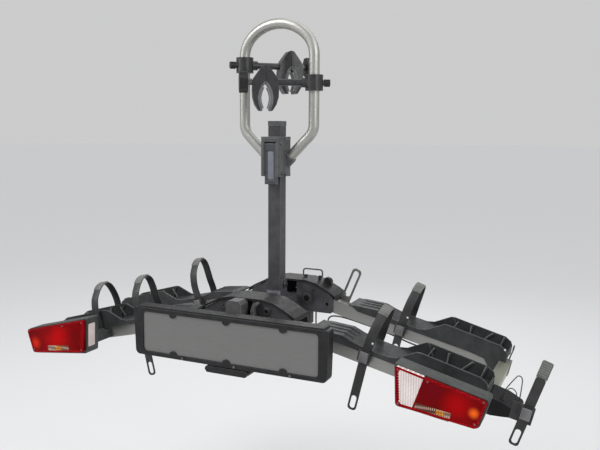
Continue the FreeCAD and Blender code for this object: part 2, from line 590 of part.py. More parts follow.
# Place along the rail, edge of the rail, lowest point, tilt and height of each inner strap
inner_straps = {
    "right": {"front_inner": (350, near_1, -145, 7.0, 0.94), "back_inner": (358, near_2, -80, 6.0, 0.97)},
    "left": {"front_inner": (356, near_1, -145, 0.0, 1.0), "back_inner": (340, near_2, -80, 0.0, 1.02)},
}


def common_straps(side):
    bands, tips, frames = [], [], []
    for place, (u, near, low, tilt, tall) in inner_straps[side].items():
        name = side + "_" + place
        first, tip, last = loop(name, u, near, tilt, tall)
        bands += [first, last, slotted(name + "_end", u, near, 1.7, low)]
        tips.append(tip)
        frames.append(buckle(name + "_frame", u, near))
    curl = prism(side + "_outer_curl", ribbon([(668, 56), (669.5, 44), (665.5, 20), (664.3, -52)], band_t),
                 "XZ_Plane", "strap_w", wing(0, near_2 + S["rail_w"] + slack + band_w, 0), 30)
    bands.append(curl)
    return bands, tips, frames


bands, tips, frames = common_straps("left")
outer = loop("left_outer", 512, near_1, 0.0, 1.0, True)
left_bands = group("left_band_group", *bands, outer[0], outer[2])
keep("left_wheel_straps", mirrored("left_bands", left_bands))
keep("left_strap_tips", mirrored("left_tips", group("left_tip_group", *tips, outer[1])))
left_frames = group("left_frame_group", *frames)
keep("left_strap_buckles", mirrored("left_frames", left_frames))
bands, tips, frames = common_straps("right")

# The front outer strap on the right hangs open beside the end of the rail
out_near = near_1 - 3.2
lean = Vec(21, 0, 222.5).normalize()
foot_u, foot_w = 749.0, -67.5
open_u, open_up = 757.3, 14.0


def leaning(name, low, high, half, thick, y_far, radius):
    across = Vec(lean.z, 0, -lean.x)
    spots = []
    for way, reach in ((-1, low), (1, low), (1, high), (-1, high)):
        spot = Vec(foot_u, 0, foot_w) + lean * reach + across * (way * half)
        spots.append((spot.x, spot.z))
    return prism(name, spots, "XZ_Plane", thick, wing(0, y_far, 0), radius)


band_far = out_near - front_gap
open_band = cut("open_band", leaning("open_flat", 0, 181, band_w / 2, band_t, band_far, 8),
                leaning("open_hole", 5, 42, band_w / 2 - 5, 12, band_far + 4, 6.9))
open_tip = leaning("open_tip", 181.3, 223, band_w / 2 + 1, 5, band_far + 1, 5)
open_plate = box("open_plate", 52, 3, 30 + open_up, wing(722, band_far + 0.2, -8))
open_frame = fuse("open_frame_all", buckle("open_frame", open_u, out_near, 1.0, open_up), open_plate)
upright_y = near_2 + S["rail_w"] + 2 * slack + ear_t + 0.5
lean = Vec(15, 0, 94).normalize()
foot_u, foot_w = 159.0, 0.0
upright = cut("upright_band", leaning("upright_flat", 0, 126, 15, band_t, upright_y + band_t, 11),
              leaning("upright_hole", 34, 119, 8.5, 12, upright_y + 8, 8.3))
upright_block = box("upright_block", 14, upright_y + 1 - near_2 - S["rail_w"] - 0.2, 10,
                    wing(153, near_2 + S["rail_w"] + 0.2, 0))
right_bands = group("right_band_group", *bands, open_band, fuse("upright_all", upright, upright_block))
keep("right_wheel_straps", right_bands)
keep("right_strap_tips", group("right_tip_group", *tips, open_tip))
keep("right_strap_buckles", group("right_frame_group", *frames, open_frame))
for side in ("right", "left"):
    for place, (u, near, low, tilt, tall) in inner_straps[side].items():
        lever = release("%s_%s_lever" % (side, place), u, near)
        lever = lever if side == "right" else mirrored("left_%s_lever_mirror" % place, lever)
        keep("%s_%s_release" % (side, place), lever)
keep("right_front_outer_release", release("front_outer_lever", open_u, out_near, open_up))

# Mast with its clamp block and lever
mast_outer = box("mast_outer", "mast_side", "mast_side", "mast_high - mast_low", at(-half_mast, -half_mast, S["mast_low"]))
mast_inner = box("mast_inner", "mast_side - 2 * mast_wall", "mast_side - 2 * mast_wall", "mast_high",
                 at(-half_mast + S["mast_wall"], -half_mast + S["mast_wall"], S["mast_low"] - 10))
mast_pin_hole = rod("mast_pin_hole", "pivot_r + run_gap", 80, at(-40, 0, S["mast_pin_z"]), "x")
keep("mast", cut("mast_cut", mast_outer, mast_inner, mast_pin_hole))
half_cap = S["cap_side"] / 2
plug = half_mast - S["mast_wall"] - 0.1
cap_top = prism("cap_top", [(-half_cap, -half_cap), (half_cap, -half_cap), (half_cap, half_cap), (-half_cap, half_cap)],
                "XY_Plane", 14, at(0, 0, S["mast_high"] + 0.1), 5)
cap_plug = box("cap_plug", 2 * plug, 2 * plug, 16, at(-plug, -plug, S["mast_high"] - 14))
cap_dip = box("cap_dip", 24, 24, 6, at(-12, -12, S["mast_high"] + 10))
keep("mast_cap", cut("cap_cut", fuse("cap_all", cap_top, cap_plug), cap_dip))
half_block = S["block_w"] / 2
low, high = S["block_low"], S["block_high"]
block = prism("block_body", [(-half_block, -S["block_near"]), (half_block, -S["block_near"]),
                             (half_block, S["block_far"]), (-half_block, S["block_far"])],
              "XY_Plane", "block_high - block_low", at(0, 0, low), 5)
block_ears = [box("block_ear_%d" % i, 14, 26, 8, at(half_block - 4, -20, z)) for i, z in enumerate((low, high - 8))]
bump = box("block_bump", 8, 30, 14, at(-half_block - 5, -20, low + 4))
lever_mid = -S["block_near"] + 10
half_t = S["lever_t"] / 2
lever_way = box("lever_way", "lever_w + 2 * ear_gap", 40, S["lever_pin_z"] + half_t + 1.5 - low + 10,
                at(-S["lever_w"] / 2 - slack, lever_mid + half_t + slack - 40, low - 10))
leg = Vec(1, 0, 1).normalize()
hoop_foot = Vec(S["hoop_foot_x"], 0, S["hoop_bend_z"] - (S["hoop_half"] - S["hoop_foot_x"]))
sockets, legs = [], []
for sx in (-1, 1):
    turn = Rot(Vec(0, 1, 0), 45 * sx)
    foot_at = at(sx * hoop_foot.x, S["hoop_y"], hoop_foot.z)
    way = Vec(sx * leg.x, 0, leg.z)
    sockets.append(rod("socket_%d" % sx, 19, 24, foot_at - way * 14, "z", turn))
    legs.append(rod("socket_hole_%d" % sx, "hoop_r + run_gap", 60, foot_at - way * 0.2, "z", turn))
slide_side = S["mast_side"] + 2 * S["slide_gap"]
mast_space = box("mast_space", slide_side, slide_side, 200, at(-slide_side / 2, -slide_side / 2, low - 40))
block_pin_hole = rod("block_pin_hole", "4 + run_gap", 80, at(-40, lever_mid, S["lever_pin_z"]), "x")
keep("clamp_block", cut("block_cut", fuse("block_all", block, *block_ears, bump, *sockets),
                        mast_space, lever_way, block_pin_hole, *legs))
lever_body = prism("lever_body", [(lever_mid - half_t, S["lever_low"]), (lever_mid + half_t, S["lever_low"]),
                                  (lever_mid + half_t, S["lever_pin_z"] + half_t, half_t - 0.1),
                                  (lever_mid - half_t, S["lever_pin_z"] + half_t, half_t - 0.1)],
                   "YZ_Plane", "lever_w", at(-S["lever_w"] / 2, 0, 0), 3)
lever_dip = box("lever_dip", 24, 4, 84, at(-12, lever_mid - half_t - 1, S["lever_low"] + 12))
lever_stub = rod("lever_stub", 4, S["lever_w"] + 8, at(-S["lever_w"] / 2 - 4, lever_mid, S["lever_pin_z"]), "x")
keep("clamp_lever", cut("clamp_lever_cut", fuse("clamp_lever_all", lever_body, lever_stub), lever_dip))

# Hoop
far = S["hoop_half"]
rise, side_r = S["hoop_rise"], S["hoop_side_r"]
side_x = far - side_r
crown_r = (side_x ** 2 + rise ** 2 - side_r ** 2) / (2 * (rise - side_r))
side_turn = math.atan2(crown_r - rise, side_x)
spring_z = S["hoop_top"] - rise
shoulder_z = spring_z + side_r * math.tan(side_turn / 2)
crown_z = shoulder_z + far / math.tan(side_turn)
bends = (S["hoop_bend_r"], side_r, crown_r, side_r, S["hoop_bend_r"])
hoop_path = [at(x, S["hoop_y"], z) for x, z in (
    (hoop_foot.x, hoop_foot.z), (far, S["hoop_bend_z"]), (far, shoulder_z), (0, crown_z),
    (-far, shoulder_z), (-far, S["hoop_bend_z"]), (-hoop_foot.x, hoop_foot.z))]
keep("hoop", tube_along("hoop_tube", hoop_path, bends, "hoop_r", "hoop_r - hoop_wall"))

# Bike holders: each slides along and turns around an upright of the hoop
jaw_line = [(0.5, 46), (8, 44), (22, 26), (34, 9), (36, -12), (37, -22), (36, -42), (30, -62), (19, -79), (9, -80),
            (9.5, -73), (14.5, -57), (16, -42), (13.3, -29), (7.3, -14), (0.5, -5)]
pad_line = [(9.2, -73), (14.2, -57), (15.7, -42), (13, -29), (7, -14.2), (3, -15), (9, -30), (11.5, -42),
            (10, -56), (5, -72)]
hinge_z = 40.0


def lobes(radius, count, depth):
    spots = []
    for i in range(2 * count):
        reach = radius if i % 2 == 0 else radius * (1 - depth)
        turn = math.pi * i / count
        spots.append((reach * math.cos(turn), reach * math.sin(turn)))
    return spots


def holder_of(name, tube_x, height, heading):
    turn = Rot(Vec(0, 0, 1), heading)
    base = at(tube_x, S["hoop_y"], height)

    def spot(x, y, z):
        return base + turn.multVec(Vec(x, y, z))

    def bar(tag, r, x0, x1, z=0.0):
        return rod(name + tag, r, x1 - x0, spot(x0, 0, z), "x", turn)

    def outline(tag, points, x, depth, radius):
        return prism(name + tag, [(x + a, b) for a, b in points], "XZ_Plane", depth,
                     Place(spot(0, depth / 2, 0), turn), radius)

    tube = S["hoop_r"]
    sleeve_r = tube + S["run_gap"] + S["sleeve_t"]
    sleeve = rod(name + "_sleeve_outer", sleeve_r, "sleeve_h", spot(0, 0, -S["sleeve_h"] / 2))
    sleeve_hole = rod(name + "_sleeve_inner", "hoop_r + run_gap", 80, spot(0, 0, -40))
    keep(name + "_sleeve", cut(name + "_sleeve_cut", sleeve, sleeve_hole))
    ring = rod(name + "_ring", "collar_r", "collar_h", spot(0, 0, -S["collar_h"] / 2))
    boss = bar("_boss", 13.5, 19, 37)
    knob_boss = bar("_knob_boss", 8, -28, -19)
    ring_hole = rod(name + "_ring_hole", sleeve_r + S["run_gap"], 80, spot(0, 0, -40))
    arm_hole = bar("_arm_hole", "arm_r + run_gap", 26, 60)
    screw_hole = bar("_screw_hole", "3 + run_gap", -60, -10)
    keep(name + "_collar", cut(name + "_collar_cut", fuse(name + "_collar_all", ring, boss, knob_boss), ring_hole,
                               arm_hole, screw_hole))
    knob = prism(name + "_grip", lobes(11.5, 5, 0.16), "XY_Plane", 16,
                 Place(spot(-44.2, 0, 0), turn.multiply(AXES["x"])), 3)
    screw = bar("_screw", 3, -36, -sleeve_r - 0.3)
    keep(name + "_collar_knob", fuse(name + "_collar_knob_all", knob, screw))
    x = S["claw_x"]
    half_y = S["claw_t"] / 2
    side_y = half_y / 3
    clear_mid = rod(name + "_clear_mid", 6.4, 2 * side_y + 0.6, spot(x, -side_y - 0.3, hinge_z), "y", turn)
    clear_sides = [rod(name + "_clear_%d" % i, 6.4, half_y - side_y + 5, spot(x, y, hinge_z), "y", turn)
                   for i, y in enumerate((side_y - 0.3, -half_y - 5 + 0.3))]
    inner_line = [(-a, b) for a, b in jaw_line]
    fixed = cut(name + "_fixed_cut", outline("_fixed", inner_line, x, S["claw_t"], 4), clear_mid)
    knuckles = [rod(name + "_knuckle_%d" % i, 6, half_y - side_y - 0.3, spot(x, y, hinge_z), "y", turn)
                for i, y in enumerate((side_y + 0.3, -half_y))]
    pivot = rod(name + "_pivot", 2, S["claw_t"] - 2, spot(x, -half_y + 1, hinge_z), "y", turn)
    tube_arm = bar("_tube", "arm_r", 26.2, x - 28)
    threaded = bar("_threaded", "rod_r", x - 20, x + 63)
    keep(name + "_arm", fuse(name + "_arm_all", fixed, *knuckles, pivot, tube_arm, threaded))
    moving = cut(name + "_moving_cut", outline("_moving", jaw_line, x, S["claw_t"], 4), *clear_sides)
    middle = rod(name + "_middle", 6, 2 * side_y - 0.6, spot(x, -side_y + 0.3, hinge_z), "y", turn)
    pivot_hole = rod(name + "_pivot_hole", 2.05, 60, spot(x, -30, hinge_z), "y", turn)
    slot = box(name + "_slot", 60, 2 * S["rod_r"] + 1, 20, spot(x - 10, -S["rod_r"] - 0.5, -14), turn)
    keep(name + "_jaw", cut(name + "_jaw_cut", fuse(name + "_jaw_all", moving, middle), pivot_hole, slot))
    keep(name + "_inner_pad", outline("_inner_rubber", [(-a, b) for a, b in pad_line], x, S["claw_t"] - 2, 2))
    keep(name + "_outer_pad", outline("_outer_rubber", pad_line, x, S["claw_t"] - 2, 2))
    start = x + 36.3
    neck = bar("_neck_outer", 9, start, start + 12)
    neck_hole = bar("_neck_hole", "rod_r + run_gap", start - 5, start + 20)
    keep(name + "_neck", cut(name + "_neck_cut", neck, neck_hole))
    wheel = prism(name + "_wheel", lobes(31, 7, 0.12), "XY_Plane", 24,
                  Place(spot(start + 12.2, 0, 0), turn.multiply(AXES["x"])), 7)
    wheel_hole = bar("_wheel_hole", "rod_r + run_gap", start + 8, start + 31)
    keep(name + "_clamp_knob", cut(name + "_wheel_cut", wheel, wheel_hole))


holder_of("front_holder", far, S["front_z"], S["front_turn"])
holder_of("back_holder", -far, S["back_z"], S["back_turn"])

doc.recompute()
broken = [item.Name for item in doc.Objects if "Invalid" in item.State or "Error" in item.State]
if broken:
    raise RuntimeError("these did not build: " + ", ".join(broken))
for name, thing in nodes.items():
    shape = thing.Shape
    if shape.isNull() or not shape.isValid() or not shape.Solids:
        raise RuntimeError(name + " has no sound solid")
    shape.exportStep("parts/" + name + ".step")
print(len(nodes), "pieces written")
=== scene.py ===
"""Looks of the hitch bike rack: finishes for the frame's nodes, finer straps, hoop and lamp
glass in place of their solids, and small pieces that the solids leave out, such as tray ribs,
lamp details, claw linings, wire loops and the lamp cable.

All places are in metres. The origin is the towball socket, +Y points to the car and +Z up. The
front row of trays is the one away from the car.
"""
import math

import bpy
import bmesh
from mathutils import Matrix, Vector


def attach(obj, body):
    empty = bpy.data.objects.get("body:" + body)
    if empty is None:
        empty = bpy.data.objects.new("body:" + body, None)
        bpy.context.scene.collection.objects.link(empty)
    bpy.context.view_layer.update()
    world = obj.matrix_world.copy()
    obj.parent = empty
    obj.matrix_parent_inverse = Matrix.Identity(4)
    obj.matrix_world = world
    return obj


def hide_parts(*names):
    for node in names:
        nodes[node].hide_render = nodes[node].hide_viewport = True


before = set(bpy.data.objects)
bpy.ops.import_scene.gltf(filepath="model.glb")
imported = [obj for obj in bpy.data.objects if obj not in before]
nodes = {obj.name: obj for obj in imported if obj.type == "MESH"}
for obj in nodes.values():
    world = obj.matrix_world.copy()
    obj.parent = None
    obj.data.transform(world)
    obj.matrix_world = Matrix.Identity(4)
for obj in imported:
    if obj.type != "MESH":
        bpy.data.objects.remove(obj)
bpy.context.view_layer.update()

# Places that pieces share: the hub line lies above and behind the towball socket
MAST_Y = -0.170
DECK_Z = 0.105
DROOP = math.radians(13.2)
RAIL_NEAR = {"front": -0.180, "back": 0.106}
RAIL_DEPTH = 0.028
SIDES = {"right": 1, "left": -1}
HOLDERS = ("front_holder", "back_holder")
TO_CAR = Vector((0, 1, 0))
FROM_CAR = Vector((0, -1, 0))
MM = 1000
# The lamps' glass is set back by the height of its rim
PROUD = 0.0016
LAMP_FACE = -0.312 + MAST_Y + PROUD

# Node trees: a noise's usual range, the match of rounded and flat normals on a face and on an
# edge, the pitch of a wave texture at scale 1, and the colour sockets of a Mix node
NOISE_LOW, NOISE_HIGH = 0.3, 0.7
FACE_MATCH, EDGE_MATCH = 0.995, 0.86
WAVE_PITCH = 0.31416
MIX_FACTOR, MIX_FIRST, MIX_SECOND, MIX_RESULT = 0, 6, 7, 2


# Finishes
class Look:
    """Node tree of one finish, with its nodes linked by short calls."""

    def __init__(self, name):
        self.material = bpy.data.materials.new(name)
        self.material.use_nodes = True
        self.tree = self.material.node_tree
        self.shader = self.tree.nodes["Principled BSDF"]
        self.place = self.add("ShaderNodeTexCoord").outputs["Object"]

    def add(self, kind, **values):
        """New node; a value goes to the input of that name, or else to the setting."""
        node = self.tree.nodes.new(kind)
        for key, value in values.items():
            if key in node.inputs:
                node.inputs[key].default_value = value
            else:
                setattr(node, key, value)
        return node

    def link(self, out, into):
        self.tree.links.new(out, into)

    def even(self, **values):
        """Values that are the same all over the surface."""
        for key, value in values.items():
            self.shader.inputs[key.replace("_", " ")].default_value = value

    def stretched(self, x, y, z):
        node = self.add("ShaderNodeMapping", Scale=(x, y, z))
        self.link(self.place, node.inputs["Vector"])
        return node.outputs["Vector"]

    def noise(self, scale, detail, place=None):
        node = self.add("ShaderNodeTexNoise", Scale=scale, Detail=detail)
        self.link(place or self.place, node.inputs["Vector"])
        return node.outputs["Fac"]

    def blend(self, fac, low, high, start=0.35, end=0.65):
        """Ramp between two colours."""
        ramp = self.add("ShaderNodeValToRGB")
        for stop, position, color in zip(ramp.color_ramp.elements, (start, end), (low, high)):
            stop.position = position
            stop.color = (*color, 1)
        self.link(fac, ramp.inputs["Fac"])
        return ramp.outputs["Color"]

    def ranged(self, value, start, end, low=0.0, high=1.0, **settings):
        """A value carried from one range to another."""
        node = self.add("ShaderNodeMapRange", **settings)
        for socket, limit in zip(("From Min", "From Max", "To Min", "To Max"),
                                 (start, end, low, high)):
            node.inputs[socket].default_value = limit
        self.link(value, node.inputs["Value"])
        return node.outputs["Result"]

    def roughness(self, noise, low, high):
        self.link(self.ranged(noise, NOISE_LOW, NOISE_HIGH, low, high),
                  self.shader.inputs["Roughness"])

    def bump(self, height, strength, distance, edge=0.0):
        """Fine relief, over edges that look rounded."""
        node = self.add("ShaderNodeBump", Strength=strength, Distance=distance)
        self.link(height, node.inputs["Height"])
        if edge:
            round_edge = self.add("ShaderNodeBevel", samples=4, Radius=edge)
            self.link(round_edge.outputs["Normal"], node.inputs["Normal"])
        self.link(node.outputs["Normal"], self.shader.inputs["Normal"])

    def mixed(self, fac, first, second):
        """Blend of two colours, each a link or a plain value, as is the factor."""
        node = self.add("ShaderNodeMix", data_type="RGBA")
        for value, socket in ((fac, MIX_FACTOR), (first, MIX_FIRST), (second, MIX_SECOND)):
            if isinstance(value, bpy.types.NodeSocket):
                self.link(value, node.inputs[socket])
            elif isinstance(value, tuple):
                node.inputs[socket].default_value = (*value, 1)
            else:
                node.inputs[socket].default_value = value
        return node.outputs[MIX_RESULT]

    # Mask for the painted highlight along edges
    def highlight_edges(self, radius):
        """1 along sharp edges, 0 on flat faces."""
        soft = self.add("ShaderNodeBevel", samples=6, Radius=radius)
        flat = self.add("ShaderNodeNewGeometry")
        match = self.add("ShaderNodeVectorMath", operation="DOT_PRODUCT")
        self.link(soft.outputs["Normal"], match.inputs[0])
        self.link(flat.outputs["Normal"], match.inputs[1])
        return self.ranged(match.outputs["Value"], FACE_MATCH, EDGE_MATCH)

    def lines(self, way, pitch):
        node = self.add("ShaderNodeTexWave", bands_direction=way, Scale=WAVE_PITCH / pitch)
        self.link(self.place, node.inputs["Vector"])
        return node.outputs["Fac"]

    def near_spot(self, spot, reach):
        """1 at a point of the object, 0 from the given reach on."""
        node = self.add("ShaderNodeVectorMath", operation="DISTANCE")
        self.link(self.place, node.inputs[0])
        node.inputs[1].default_value = spot
        return self.ranged(node.outputs["Value"], reach, 0.0, interpolation_type="SMOOTHSTEP")


def shade(color, factor):
    return tuple(c * factor for c in color)


def moulded(name, color, rough, grain=900, depth=0.00012, edge=0.0008, spread=0.22, edge_highlight=2.0,
            sheen=0.5):
    """Plastic, rubber or paint: mottled colour, fine grain, soft edges that a painted highlight
    makes paler.
    """
    look = Look(name)
    patches = look.blend(look.noise(scale=38.0, detail=4.0), shade(color, 1 - spread),
                         shade(color, 1 + spread))
    # Painted highlight: sharp edges are mixed towards a paler copy of the base colour
    highlight_reach = edge * 1.6 + 0.0004
    look.link(look.mixed(look.highlight_edges(highlight_reach), patches, shade(color, edge_highlight)),
              look.shader.inputs["Base Color"])
    look.roughness(look.noise(scale=90.0, detail=5.0), rough - 0.07, rough + 0.09)
    look.even(Specular_IOR_Level=sheen)
    look.bump(look.noise(grain, detail=2.0), strength=0.55, distance=depth, edge=edge)
    return look.material


def brushed(name, color, rough, way, edge=0.0006, spread=0.12, metal=1.0, depth=0.00008):
    """Metal with fine lines along one direction, given by the noise's scale on each axis."""
    look = Look(name)
    lines = look.noise(scale=1.0, detail=6.0, place=look.stretched(*way))
    look.link(look.blend(lines, shade(color, 1 - spread), shade(color, 1 + spread), NOISE_LOW,
                         NOISE_HIGH), look.shader.inputs["Base Color"])
    look.roughness(look.noise(scale=24.0, detail=3.0), rough - 0.05, rough + 0.08)
    look.even(Metallic=metal)
    if depth:
        look.bump(lines, strength=0.25, distance=depth, edge=edge)
    return look.material


def lens(name, low, high, across, upright, painted_light=()):
    """Glossy lamp lens, with a fine weave of ribs and with pools of other tints that paint
    highlights, shade and glow on it.
    """
    look = Look(name)
    weave = look.add("ShaderNodeMath", operation="MULTIPLY")
    look.link(look.lines("X", across), weave.inputs[0])
    look.link(look.lines("Z", upright), weave.inputs[1])
    color = look.blend(weave.outputs["Value"], low, high, start=0.15, end=0.8)
    deep = look.blend(look.noise(scale=22.0, detail=2.0), shade(low, 0.8), shade(high, 0.9))
    color = look.mixed(0.22, color, deep)
    # Pools of painted highlight, shade and glow over the colour
    for spot, reach, light_tint in painted_light:
        color = look.mixed(look.near_spot(spot, reach), color, light_tint)
    look.link(color, look.shader.inputs["Base Color"])
    look.even(Roughness=0.12, Specular_IOR_Level=0.07)
    look.bump(weave.outputs["Value"], strength=0.12, distance=0.0003, edge=0.001)
    return look.material


# Painted highlights and shade in the red glass, as pools of brighter and darker red: x and z of
# the middle, reach and colour. The fourth is the painted glow of the bulb
RED_PAINTED_LIGHT = [((x, LAMP_FACE, z), reach, light_tint) for x, z, reach, light_tint in (
    (0.545, 0.020, 0.050, (0.14, 0.0, 0.004)), (0.605, -0.012, 0.050, (0.36, 0.0, 0.001)),
    (0.655, -0.045, 0.030, (0.16, 0.0, 0.002)), (0.643, -0.024, 0.017, (0.90, 0.13, 0.01)),
    (-0.560, 0.000, 0.075, (0.44, 0.0, 0.001)), (-0.600, 0.026, 0.050, (0.20, 0.0, 0.002)),
    (-0.490, 0.045, 0.040, (0.20, 0.0, 0.002)), (-0.640, -0.030, 0.026, (0.55, 0.02, 0.004)))]
# The paler edges of the moulded finishes below are a painted highlight
finish = {
    "frame_paint": moulded("frame_paint", (0.052, 0.051, 0.056), 0.4, grain=700, depth=0.0001,
                           edge=0.0012, edge_highlight=1.6, sheen=0.35),
    "cast": moulded("cast_black", (0.030, 0.030, 0.031), 0.5, grain=420, depth=0.0004,
                    edge=0.002, sheen=0.3),
    "plastic": moulded("black_plastic", (0.017, 0.017, 0.018), 0.44, grain=1100, edge=0.001,
                       edge_highlight=3.6, sheen=0.22),
    "block": moulded("block_plastic", (0.078, 0.079, 0.081), 0.42, grain=1100, edge=0.0015,
                     edge_highlight=3.0, sheen=0.35),
    "tray": moulded("tray_plastic", (0.030, 0.031, 0.032), 0.46, depth=0.00016, edge=0.001,
                    edge_highlight=3.6, sheen=0.3),
    # Tray ribs: their pale grey is a painted highlight along them
    "rib": moulded("rib_painted_highlight", (0.120, 0.122, 0.120), 0.5, depth=0.0001, edge=0.0004, edge_highlight=1.6),
    "holder": moulded("holder_plastic", (0.022, 0.022, 0.023), 0.36, grain=1200, depth=0.00008,
                      edge=0.0015, edge_highlight=3.0),
    "knob": moulded("knob_plastic", (0.016, 0.016, 0.017), 0.44, grain=1000, depth=0.0001,
                    edge=0.001, edge_highlight=3.0, sheen=0.3),
    "claw": moulded("claw_plastic", (0.024, 0.024, 0.026), 0.32, grain=1200, depth=0.00006,
                    edge=0.0014, edge_highlight=3.6),
    "lamp_shell": moulded("lamp_shell_plastic", (0.046, 0.050, 0.048), 0.5, depth=0.0001,
                          edge=0.001, sheen=0.35),
    "rail": brushed("rail_anodised", (0.30, 0.298, 0.285), 0.42, (12.0, 900.0, 900.0),
                    edge=0.0008, spread=0.1, metal=0.8),
    "cross": brushed("cross_anodised", (0.30, 0.305, 0.245), 0.42, (900.0, 12.0, 900.0),
                     edge=0.0008, spread=0.1, metal=0.7),
    "hoop": brushed("hoop_steel", (0.42, 0.415, 0.392), 0.40, (30.0, 30.0, 12.0), spread=0.04,
                    metal=0.9, depth=0.0),
    "bolt": brushed("bolt_steel", (0.16, 0.158, 0.155), 0.34, (400.0, 400.0, 400.0),
                    edge=0.0004, spread=0.2),
    "wire": brushed("wire_steel", (0.10, 0.10, 0.10), 0.3, (300.0, 300.0, 300.0), edge=0.0,
                    spread=0.2),
    "panel": brushed("panel_grey", (0.165, 0.163, 0.16), 0.36, (40.0, 900.0, 500.0),
                     edge=0.0004, spread=0.05, metal=0.25),
    "rubber": moulded("pad_rubber", (0.20, 0.20, 0.205), 0.62, grain=800, depth=0.0001,
                      edge=0.0006),
    "lining": moulded("claw_lining", (0.115, 0.116, 0.122), 0.5, grain=800, depth=0.0001,
                      edge=0.0006),
    "strap": moulded("strap_rubber", (0.026, 0.026, 0.027), 0.5, grain=1300, depth=0.00008,
                     edge=0.0006, sheen=0.4),
    "tip": moulded("tip_grey", (0.110, 0.111, 0.105), 0.52, depth=0.0001, edge_highlight=2.4),
    "buckle": moulded("buckle_grey", (0.120, 0.120, 0.124), 0.45, depth=0.0001),
    "catch": moulded("catch_grey", (0.080, 0.080, 0.082), 0.45, depth=0.0001, edge=0.0012,
                     edge_highlight=2.6),
    "lever": moulded("lever_shell", (0.045, 0.047, 0.055), 0.4, grain=1000, depth=0.00008,
                     edge=0.0015, spread=0.1, edge_highlight=2.6),
    "inlay": moulded("lever_inlay", (0.165, 0.172, 0.20), 0.4, grain=1000, depth=0.00008,
                     edge=0.0006, spread=0.1),
    "red_lens": lens("red_lens", (0.11, 0.0, 0.0), (0.30, 0.0, 0.003), across=0.0042,
                     upright=0.0042, painted_light=RED_PAINTED_LIGHT),
    "clear_lens": lens("clear_lens", (0.60, 0.50, 0.48), (1.0, 0.97, 0.96), across=0.0060,
                       upright=0.0030),
    "rim_lens": lens("rim_lens", (0.20, 0.0, 0.002), (0.42, 0.002, 0.008), across=0.0080,
                     upright=0.0080),
    "reflector": lens("reflector", (0.09, 0.03, 0.02), (0.62, 0.45, 0.36), across=0.0048,
                      upright=0.0120),
    "amber_lens": lens("amber_lens", (0.30, 0.10, 0.02), (0.95, 0.45, 0.05), across=0.0060,
                       upright=0.0070),
    "label": moulded("label_grey", (0.150, 0.147, 0.175), 0.45, depth=0.00005, edge=0.0005),
    "nose": moulded("nose_plastic", (0.006, 0.006, 0.007), 0.5, edge=0.001, edge_highlight=4.0, sheen=0.2),
    "rivet": moulded("rivet_white", (0.62, 0.62, 0.6), 0.35, depth=0.00004, edge=0.0003,
                     spread=0.08),
    "cable": moulded("cable_sheath", (0.018, 0.018, 0.019), 0.4, grain=1300, depth=0.00005,
                     edge=0.0),
}

# Which finish each node of the frame gets
node_finish = {
    "coupling_housing": "cast", "coupling_lever": "frame_paint", "centre_frame": "frame_paint",
    "pivot_bolts": "bolt", "front_hub_cover": "plastic", "back_hub_cover": "plastic",
    "bail_handle": "frame_paint", "plate_holder": "plastic", "number_plate_panel": "panel",
    "plate_screws": "bolt", "lock_catch": "catch", "tilt_pedal": "plastic",
    "mast": "frame_paint", "mast_cap": "block", "clamp_block": "block", "clamp_lever": "lever",
    "hoop": "hoop", "right_front_outer_release": "buckle",
    "right_lamp_clear_lens": "clear_lens", "left_lamp_fog_lens": "red_lens",
}
WING_FINISH = {
    "rails": "rail", "trays": "tray", "cross_member": "cross", "front_rail_end": "nose",
    "lamp_housing": "lamp_shell", "lamp_red_lens": "red_lens", "wheel_straps": "strap",
    "strap_tips": "tip", "strap_buckles": "strap", "front_inner_release": "buckle",
    "back_inner_release": "buckle",
}
HOLDER_FINISH = {
    "sleeve": "rubber", "collar": "holder", "collar_knob": "knob", "arm": "claw", "jaw": "claw",
    "inner_pad": "rubber", "outer_pad": "rubber", "neck": "bolt", "clamp_knob": "knob",
}
for owners, parts in ((SIDES, WING_FINISH), (HOLDERS, HOLDER_FINISH)):
    for owner in owners:
        node_finish.update({owner + "_" + part: look for part, look in parts.items()})
for name, look in node_finish.items():
    slots = nodes[name].material_slots
    for slot in slots:
        slot.material = finish[look]
    if not slots:
        nodes[name].data.materials.append(finish[look])

# Making pieces: a primitive is placed, shaped in edit mode and given its look and body
SMOOTH_ANGLE = math.radians(32)
TINY = 1e-6
# A strap's bevel by its thickness, and its steps: pitch, width by the strap's, foot and peak by
# the pitch
BAND_BEVEL = 0.28
STEP_PITCH, STEP_WIDE, STEP_FOOT, STEP_PEAK = 0.004, 0.62, 0.4, 0.25
# Round heads: the cosine from which a face looks along the head's axis, bevel and recess by the
# head's height, and wall around the recess by its radius
LOOKS_ALONG = 0.9
HEAD_BEVEL, HEAD_RECESS, HEAD_WALL = 0.4, 0.6, 0.22


def clear():
    bpy.ops.object.select_all(action="DESELECT")


def pick(item):
    clear()
    item.select_set(True)
    bpy.context.view_layer.objects.active = item


def placed(name, data):
    item = bpy.data.objects.new(name, data)
    bpy.context.collection.objects.link(item)
    return item


def mode(name):
    bpy.ops.object.mode_set(mode=name)


def extrude(step):
    bpy.ops.mesh.extrude_region_move(TRANSFORM_OT_translate={"value": step})


def wing(side, u, y, w):
    """Place on a wing: u along the rail, y towards the car, w up from the rail."""
    return Vector((SIDES[side] * (u * math.cos(DROOP) + w * math.sin(DROOP)), y + MAST_Y,
                   -u * math.sin(DROOP) + w * math.cos(DROOP) + DECK_Z))


def wing_spots(side, spots, y):
    """Places on a wing with one y, from pairs of u and w."""
    return [wing(side, u, y, w) for u, w in spots]


def upright_spots(spots, y, side="right"):
    """Points of an upright plane, from x and z in millimetres off the hub line."""
    return [Vector((SIDES[side] * x / MM, y, z / MM + DECK_Z)) for x, z in spots]


